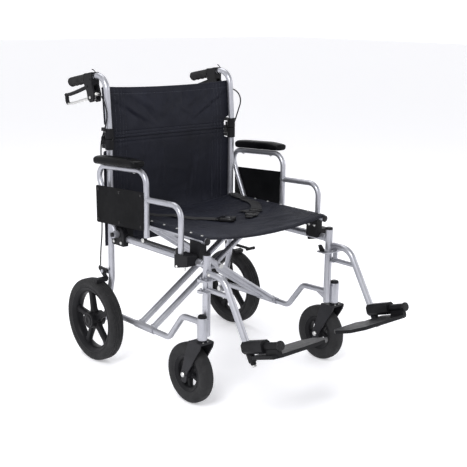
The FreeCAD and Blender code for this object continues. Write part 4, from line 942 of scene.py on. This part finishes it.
def hanger_details(side, tag):
    """Bolt and sleeve at the lower end of the hanger's tube, and the bolt of its hook."""
    body = f"hanger_{tag}"
    down = Vector((0, -112, -188)).normalized()
    tube_end = at_side(side, HANGER_X, -430, 253)
    hex_bolt(f"extension_bolt_{tag}", tube_end + down * 0.0565, down, 8.8, 6.6, body)
    sleeve = [(14, 9.2), (14, 12.6), (46, 12.6), (48, 11.4), (48, 9.2)]
    lathe(f"extension_sleeve_{tag}", sleeve, tube_end, down, PLASTIC, body, 40)
    dome_screw(f"hanger_bolt_{tag}", at_side(side, HANGER_X + 11.2, -257.4, 441), (side, 0, 0), 4.5, body)


for side, tag in SIDES:
    frame_details(side, tag)
    brace_welds(side, tag)
    hanger_details(side, tag)

# ---------------- seat

SEAT_FLAT = 262.0
SEAT_TURN = 12.8
SEAT_REACH = RAIL_X + SEAT_TURN * 1.35
SEAT_TOP = RAIL_Z + 0.4 + SEAT_TURN
SEAT_SAG = 21.0
SEAT_FRONT, SEAT_REAR = -212.0, 284.0
SEAT_SCREWS = (-188, -133, -61, 7, 75, 143, 205, 262)
rng = random.Random(21)


def folds(count, x_reach, y_span, lengths, slant, heights, widths):
    """Random soft folds: (start, end, width, height)."""
    made = []
    for _ in range(count):
        x, y = rng.uniform(-x_reach, x_reach), rng.uniform(*y_span)
        length, turn = rng.uniform(*lengths), rng.uniform(*slant)
        dx, dy = cos(turn) * length / 2, sin(turn) * length / 2
        height = rng.uniform(*heights) * rng.choice((-1, 1))
        made.append(((x - dx, y - dy), (x + dx, y + dy), rng.uniform(*widths), height))
    return made


SEAT_FOLDS = folds(34, 210, (-190, 270), (110, 330), (-0.3, 0.3), (1.0, 3.0), (6, 14))
SEAT_FOLDS += folds(26, 225, (-190, 260), (50, 140), (-0.8, 0.8), (0.8, 2.2), (5, 9))
SEAT_SLOW = wave_sum(5, 6, 0.008, 0.03)


def seat_surface(s, t):
    """Seat sling: sags between the rails and turns down round them."""
    y = SEAT_FRONT + (SEAT_REAR - SEAT_FRONT) * t
    reach = (2 * s - 1) * SEAT_REACH
    a = abs(reach)
    if a <= RAIL_X:
        x, z = a, SEAT_TOP - SEAT_SAG * max(1 - (a / SEAT_FLAT) ** 2, 0)
        share = 1 - (a / RAIL_X) ** 6
    else:
        turn = (a - RAIL_X) / SEAT_TURN
        x, z = RAIL_X + SEAT_TURN * sin(turn), SEAT_TOP - SEAT_TURN * (1 - cos(turn))
        share = 0.0
    x = copysign(x, reach)
    inside = min(t, 1 - t, 0.03) / 0.03
    lift = sum(ridge(x, y, *fold) for fold in SEAT_FOLDS) + 1.6 * SEAT_SLOW(x, y)
    nearest = min(abs(y - place) for place in SEAT_SCREWS)
    pull = exp(-(RAIL_X - min(a, RAIL_X)) / 42) * bell(nearest, 0, 13)
    z += (lift * inside - 1.5 * pull) * share
    z -= 0.8 * max(1 - abs(a - 243) / 3, 0) * inside
    z -= 4.5 * max(1 - (y - SEAT_FRONT) / 9, 0) ** 2
    z -= 0.9 * bell(y, SEAT_FRONT + 22, 2.2) * share
    z -= 3.0 * max(1 - (SEAT_REAR - y) / 9, 0) ** 2
    return mm(x, y, z), (reach * MM, y * MM)


def crumple(pieces):
    """Gives each cloth piece a mesh of its own."""
    for piece in pieces:
        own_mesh(piece)


def steps_between(first, last, count=200):
    return [first + (last - first) * k / count for k in range(count + 1)]


def across_line(t, s_from, s_to):
    return [(s, t) for s in steps_between(s_from, s_to)]


def along_line(s, t_from, t_to):
    return [(s, t) for t in steps_between(t_from, t_to)]


def share_of(value, low, high):
    return (value - low) / (high - low)


def seat_share(x):
    """Share across the cut of a point at x between the rails."""
    return 0.5 + x / (2 * SEAT_REACH)


def length_share(y):
    return share_of(y, SEAT_FRONT, SEAT_REAR)


seat = sling("seat_sling", 171, 141, seat_surface, "seat", "seat_upholstery")
seams = [along_line(seat_share(side * x), 0.02, 0.98) for x in (246, 240.5) for side, _ in SIDES]
seams += [across_line(length_share(y), 0.1, 0.9) for y in (-191, -187, 270)]
seat_threads = stitches("seat_stitching", seams, on_cloth(seat_surface, CLOTH_T / 2), "seat")
roll_line = [seat_surface(s, 0.004)[0] + mm(0, 1.5, -1.6) for s in steps_between(0.035, 0.965, 160)]
roll = sweep("seat_front_roll", roll_line, superellipse(0.0052, 0.0042, 2.2, 14), CLOTH, "seat", up=(0, 0, 1))

# ---------------- lap belt, laid on the seat

BELT_HALF, BELT_T = 0.019, 0.0016
BELT_EDGE = ((-0.96, -1 / 2), (0.96, -1 / 2), (1, -1 / 3), (1, 1 / 3), (0.96, 1 / 2), (-0.96, 1 / 2),
             (-1, 1 / 3), (-1, -1 / 3))


def on_seat(x, y, lift):
    return seat_surface(seat_share(x), length_share(y))[0] + Vector((0, 0, lift * MM))


def belt(name, points, width=BELT_HALF, rise=0.0):
    """A strap of webbing laid over the seat through the given points."""
    flat_line = smooth_line([mm(x, y, 0) for x, y in points], 0.004)
    line = []
    for index, place in enumerate(flat_line):
        share = index / (len(flat_line) - 1)
        wave = 1.4 * sin(share * 9) ** 2 + rise * sin(pi * share)
        line.append(on_seat(place.x / MM, place.y / MM, 4.2 + wave))
    edge = [(u * width, v * BELT_T) for u, v in BELT_EDGE]
    return sweep(name, line, edge, WEB, "seat", up=(0, 0, 1))


def plate_on_seat(name, centre, heading, half_length, half_width, thick, material, lift):
    """A rounded moulded plate that lies on the seat, turned to a heading in degrees."""
    turn = radians(heading)
    forward = Vector((cos(turn), sin(turn), 0))
    sideways = Vector((-sin(turn), cos(turn), 0))
    base = on_seat(*centre, lift)
    levels = ((-0.5, 0.9), (-0.42, 0.98), (0.0, 1.0), (0.3, 0.98), (0.44, 0.93), (0.5, 0.84))
    outline = superellipse(half_length, half_width, 5, 48)
    vertices = []
    for place, share in levels:
        level = base + Vector((0, 0, place * thick))
        vertices += [level + forward * (u * share) + sideways * (v * share) for u, v in outline]
    return add_mesh(name, vertices, ring_faces(len(levels), len(outline)), material, "seat")


belt_pieces = [
    belt("belt_right", [(-262, 268), (-238, 236), (-172, 178), (-102, 100), (-56, 50), (-22, 14)]),
    belt("belt_left", [(262, 266), (244, 220), (236, 150), (214, 80), (164, 24), (112, -12)]),
    belt("belt_left_tail", [(176, 40), (140, 14), (122, 22), (128, 60)], BELT_HALF * 0.98, 3.0),
]
buckle = [
    plate_on_seat("belt_buckle", (-7, -10), -57, 0.029, 0.024, 0.013, GLOSS, 9),
    plate_on_seat("belt_buckle_button", (4, -27), -57, 0.009, 0.019, 0.0145, PLASTIC, 9.6),
    plate_on_seat("belt_buckle_bar", (-24, 16), -57, 0.006, 0.0225, 0.006, GLOSS, 7.4),
    plate_on_seat("belt_tongue", (98, -20), 212, 0.016, 0.0225, 0.0075, GLOSS, 8.4),
    plate_on_seat("belt_tongue_blade", (74, -35), 212, 0.015, 0.013, 0.004, PLASTIC, 8),
    plate_on_seat("belt_adjuster", (150, 14), 215, 0.010, 0.0235, 0.007, GLOSS, 8.4),
]
seat_extras = [roll, seat_threads, *belt_pieces, *buckle]
crumple([seat, *seat_extras])

# ---------------- back, in two panels that meet at the fold

BACK_Y = 313.7
LEAN, LEAN_FROM = 0.0866, 838.5
LOWER_LOW, LOWER_HIGH, LOWER_HEM = 420, 803.5, 438
UPPER_LOW, UPPER_HIGH = 800.8, 966
LOWER_HALF, FOLD_HALF, UPPER_HALF = 295, 256, 291
BOW_HALF = 262
BANDS = (198, 210, 223, 239)
LOWER_ROWS, UPPER_ROWS = (784, 796), (808, 820)
LOWER_FOLDS = folds(14, 220, (460, 770), (80, 260), (-0.35, 0.35), (0.4, 1.3), (8, 14))
LOWER_FOLDS += folds(26, 235, (470, 740), (90, 230), (1.35, 1.8), (0.9, 2.4), (5, 10))
UPPER_FOLDS = [
    ((-262, 955), (-110, 856), 10, 6.2), ((-250, 925), (-80, 832), 9, -4.6),
    ((-200, 965), (-30, 874), 12, 5.4), ((262, 950), (110, 856), 10, 5.6),
    ((252, 925), (100, 836), 9, -4.4), ((190, 958), (20, 868), 12, 4.6),
    ((-60, 950), (70, 872), 14, -3.2), ((60, 955), (-50, 862), 13, 3.4), ((-30, 930), (130, 850), 8, 2.6),
]
UPPER_FOLDS += folds(26, 235, (835, 950), (50, 140), (0.4, 2.6), (1.0, 2.8), (5, 9))
BACK_SLOW = wave_sum(9, 6, 0.008, 0.03)


def top_edge(x):
    """Height of the back's top edge, which hangs between the canes."""
    return UPPER_HIGH + 9 * min(abs(x) / 284, 1) ** 2.2


def back_relief(x, z, creases, rows, half):
    """Soft folds, the depth of the seams, and the raised band at each edge."""
    lift = sum(ridge(x, z, *crease) for crease in creases) + 1.4 * BACK_SLOW(x, z)
    seam = 1.7 * sum(bell(abs(x), place, 2.0) for place in BANDS)
    seam += 2.6 * sum(bell(z, row, 2.4) for row in rows)
    pad = 1.2 if BANDS[0] < abs(x) < BANDS[-1] else 0.0
    return lift * clamp((half - abs(x)) / 30), seam, pad


def lower_surface(s, t):
    """Lower panel: wide at the posts, narrower where it meets the back joints."""
    z = LOWER_LOW + (LOWER_HIGH - LOWER_LOW) * t
    half = LOWER_HALF - (LOWER_HALF - FOLD_HALF) * smooth(z, 756, 14)
    x = (2 * s - 1) * half
    lift, seam, pad = back_relief(x, z, LOWER_FOLDS, LOWER_ROWS, half)
    bow = 5.5 * max(1 - (x / BOW_HALF) ** 2, 0) * sin(pi * min(max(t, 0.02), 0.98)) ** 0.5
    y = BACK_Y + bow - lift * 0.9 + seam + 0.9 * bell(z, LOWER_HEM, 2) - pad
    y += 2.0 * max((abs(x) - 286) / 9, 0) ** 2 + 1.5 * clamp((z - 792) / 8)
    return mm(x, y, z), (x * MM, z * MM)


def upper_surface(s, t):
    """Upper panel: leans back with the canes and hangs between them."""
    level_z = UPPER_LOW + (UPPER_HIGH - UPPER_LOW) * t
    half = FOLD_HALF + (UPPER_HALF - FOLD_HALF) * smooth(level_z, 834, 16)
    x = (2 * s - 1) * half
    z = UPPER_LOW + (top_edge(x) - UPPER_LOW) * t
    lift, seam, pad = back_relief(x, z, UPPER_FOLDS, UPPER_ROWS, half)
    lean = max(z - LEAN_FROM, 0) * LEAN
    bow = 5.0 * max(1 - (x / BOW_HALF) ** 2, 0) * min(t * 3, 1)
    edge_gap = top_edge(x) - z
    hem = 0.9 * bell(edge_gap, 18, 2)
    y = BACK_Y + lean + bow - lift * 0.9 * min(edge_gap / 12 + 0.2, 1) + seam + hem - pad
    y += 3.0 * max(1 - edge_gap / 6, 0) ** 2 - 1.5 * clamp((812 - z) / 8)
    return mm(x, y, z), (x * MM, z * MM)


def constant_x(surface, x):
    """A line up a panel that stays at one x although the panel's width changes."""
    line = []
    for t in steps_between(0.01, 0.98, 120):
        half = surface(1.0, t)[0].x / MM
        line.append((0.5 + x / (2 * half), t))
    return line


def back_threads(key, surface, row_shares, hem_line, body):
    """Stitching on both faces: rows at the fold, bands up the edges and one hem."""
    lines = [across_line(t, 0.02, 0.98) for t in row_shares]
    lines += [constant_x(surface, side * place) for side, _ in SIDES for place in BANDS]
    lines.append(hem_line)
    pieces = []
    for face, lift in (("front", CLOTH_T / 2), ("rear", -CLOTH_T / 2)):
        pieces.append(stitches(f"back_stitching_{key}_{face}", lines, on_cloth(surface, lift), body, 0.0006))
    return pieces


lower_back = sling("back_sling_lower", 171, 111, lower_surface, "side_frame_right", "back_upholstery_lower")
upper_back = sling("back_sling_upper", 171, 71, upper_surface, "cane_right", "back_upholstery_upper")
*lower_rows, hem_row = (share_of(z, LOWER_LOW, LOWER_HIGH) for z in (*LOWER_ROWS, LOWER_HEM))
upper_rows = [share_of(z, UPPER_LOW, UPPER_HIGH) for z in UPPER_ROWS]
lower_extras = back_threads("lower", lower_surface, lower_rows, across_line(hem_row, 0.01, 0.99),
                            "side_frame_right")
upper_extras = back_threads("upper", upper_surface, upper_rows, across_line(0.885, 0.02, 0.98), "cane_right")
edge_line = [upper_surface(s, 0.998)[0] for s in steps_between(0.01, 0.99, 160)]
top_roll = sweep("back_top_roll", edge_line, superellipse(0.0036, 0.0044, 2.2, 14), CLOTH, "cane_right",
                 up=(0, 0, 1))
crumple([lower_back, upper_back, top_roll, *lower_extras, *upper_extras])

# ---------------- rows of screws and bolts

# name, body, radius, material, washer, facing and places, all for the left side
OUT, IN, UP, DOWN = (1, 0, 0), (-1, 0, 0), (0, 0, 1), (0, 0, -1)
SCREWS = [
    ("pad_screw", "armrest", 4.2, ZINC, True, DOWN, [(ARM_X, y, arm_top(y) - 9.6) for y in (110, 262)]),
    ("panel_rivet", "armrest", 3.4, GLOSS, True, OUT, [
        (324.6, 60, 645), (324.6, 184, 638), (324.6, 308, 631), (324.6, 60, 541), (324.6, 184, 533),
        (324.6, 308, 525),
    ]),
    ("mount_screw", "cane", 3.6, GLOSS, False, OUT, [(MOUNT_FACE_X, 410, 974), (MOUNT_FACE_X, 392, 1000)]),
    ("saddle_screw", "side_frame", 3.6, ZINC, True, IN, [(252, y, 508) for y in (-180, -154, 216, 234)]),
    ("back_screw", "side_frame", 4.2, ZINC, True, (0, 1, 0),
     [(POST_X, 316.2, z) for z in (446, 520, 596, 672, 744)]),
    ("back_screw_upper", "cane", 4.2, ZINC, True, (0, 1, -LEAN),
     [(POST_X, 315.9 + (z - LEAN_FROM) * LEAN, z) for z in (868, 916, 960)]),
]
# name, half width, height and places
SIDE_FRAME_BOLTS = [
    ("bracket_bolt", 5.8, 4.2, [(301.5, 206, 453), (301.5, 248, 453)]),
    ("socket_bolt", 5.2, 4, [(325, -176, 448), (325, -134, 448)]),
]

for side, tag in SIDES:
    for name, body, radius, material, washer, facing, places in SCREWS:
        for number, place in enumerate(places):
            dome_screw(f"{name}_{tag}_{number}", at_side(side, *place), at_side(side, *facing), radius,
                       f"{body}_{tag}", material, washer)
    for name, across, height, places in SIDE_FRAME_BOLTS:
        for number, place in enumerate(places):
            hex_bolt(f"{name}_{tag}_{number}", at_side(side, *place), (side, 0, 0), across, height,
                     f"side_frame_{tag}")
    for number, y in enumerate(SEAT_SCREWS):
        dome_screw(f"seat_screw_{tag}_{number}", at_side(side, RAIL_X, y, 549.3), UP, 3.5,
                   seat_rail_body(side))
    for end, turn in (("a", -1), ("b", 1)):
        dome_screw(f"fork_rivet_{tag}_{end}", at_side(side, CASTER_X + turn * 9, -254, 222), UP, 2.6,
                   f"caster_fork_{tag}", washer=False)
    for end, turn in (("inner", -1), ("outer", 1)):
        hex_bolt(f"fork_nut_{tag}_{end}", at_side(side, CASTER_X + turn * 29.07, -180, 100),
                 (side * turn, 0, 0), 8.5, 6.5, f"caster_fork_{tag}")

# ---------------- floor and light

FLOOR_REACH = 30
floor_shade = Shade("studio_floor", (0.9, 0.9, 0.92), 0.6, emission_color=(1, 1, 1.02, 1),
                    emission_strength=0.3)
floor_shade.tint(floor_shade.noise(1.5, 2.0), (0.895, 0.895, 0.915), (0.905, 0.905, 0.925))
corners = [(FLOOR_REACH * u, FLOOR_REACH * v, -0.0005) for u, v in ((-1, -1), (1, -1), (1, 1), (-1, 1))]
floor = add_mesh("floor", corners, [(0, 1, 2, 3)], floor_shade.material, smooth=False)

world = bpy.data.worlds.new("studio")
bpy.context.scene.world = world
world.use_nodes = True
backdrop = world.node_tree.nodes["Background"]
backdrop.inputs["Strength"].default_value = 1.25
direction = world.node_tree.nodes.new("ShaderNodeTexCoord")
split = world.node_tree.nodes.new("ShaderNodeSeparateXYZ")
sky = world.node_tree.nodes.new("ShaderNodeValToRGB")
for element, (place, level) in zip(sky.color_ramp.elements, ((0.2, 1.0), (0.72, 0.4))):
    element.position = place
    element.color = (level, level, level * 1.02, 1.0)
world.node_tree.links.new(direction.outputs["Generated"], split.inputs[0])
world.node_tree.links.new(split.outputs["Z"], sky.inputs[0])
world.node_tree.links.new(sky.outputs[0], backdrop.inputs["Color"])


def softbox(name, place, aim, width, height, power):
    data = bpy.data.lights.new(name, "AREA")
    data.shape = "RECTANGLE"
    data.size, data.size_y = width, height
    data.energy = power
    lamp = bpy.data.objects.new(name, data)
    bpy.context.scene.collection.objects.link(lamp)
    lamp.location = place
    lamp.rotation_euler = (Vector(aim) - Vector(place)).to_track_quat("-Z", "Y").to_euler()


softbox("key", (-2.6, -1.6, 3.2), (0, 0, 0.5), 1.4, 1.8, 95)
softbox("fill", (2.8, -2.8, 2.2), (0, 0, 0.5), 2.2, 1.6, 16)
softbox("top", (0.4, 1.6, 3.6), (0, 0.1, 0.6), 2.6, 2.0, 40)
bpy.context.scene.view_settings.view_transform = "Standard"
bpy.context.scene.view_settings.look = "None"
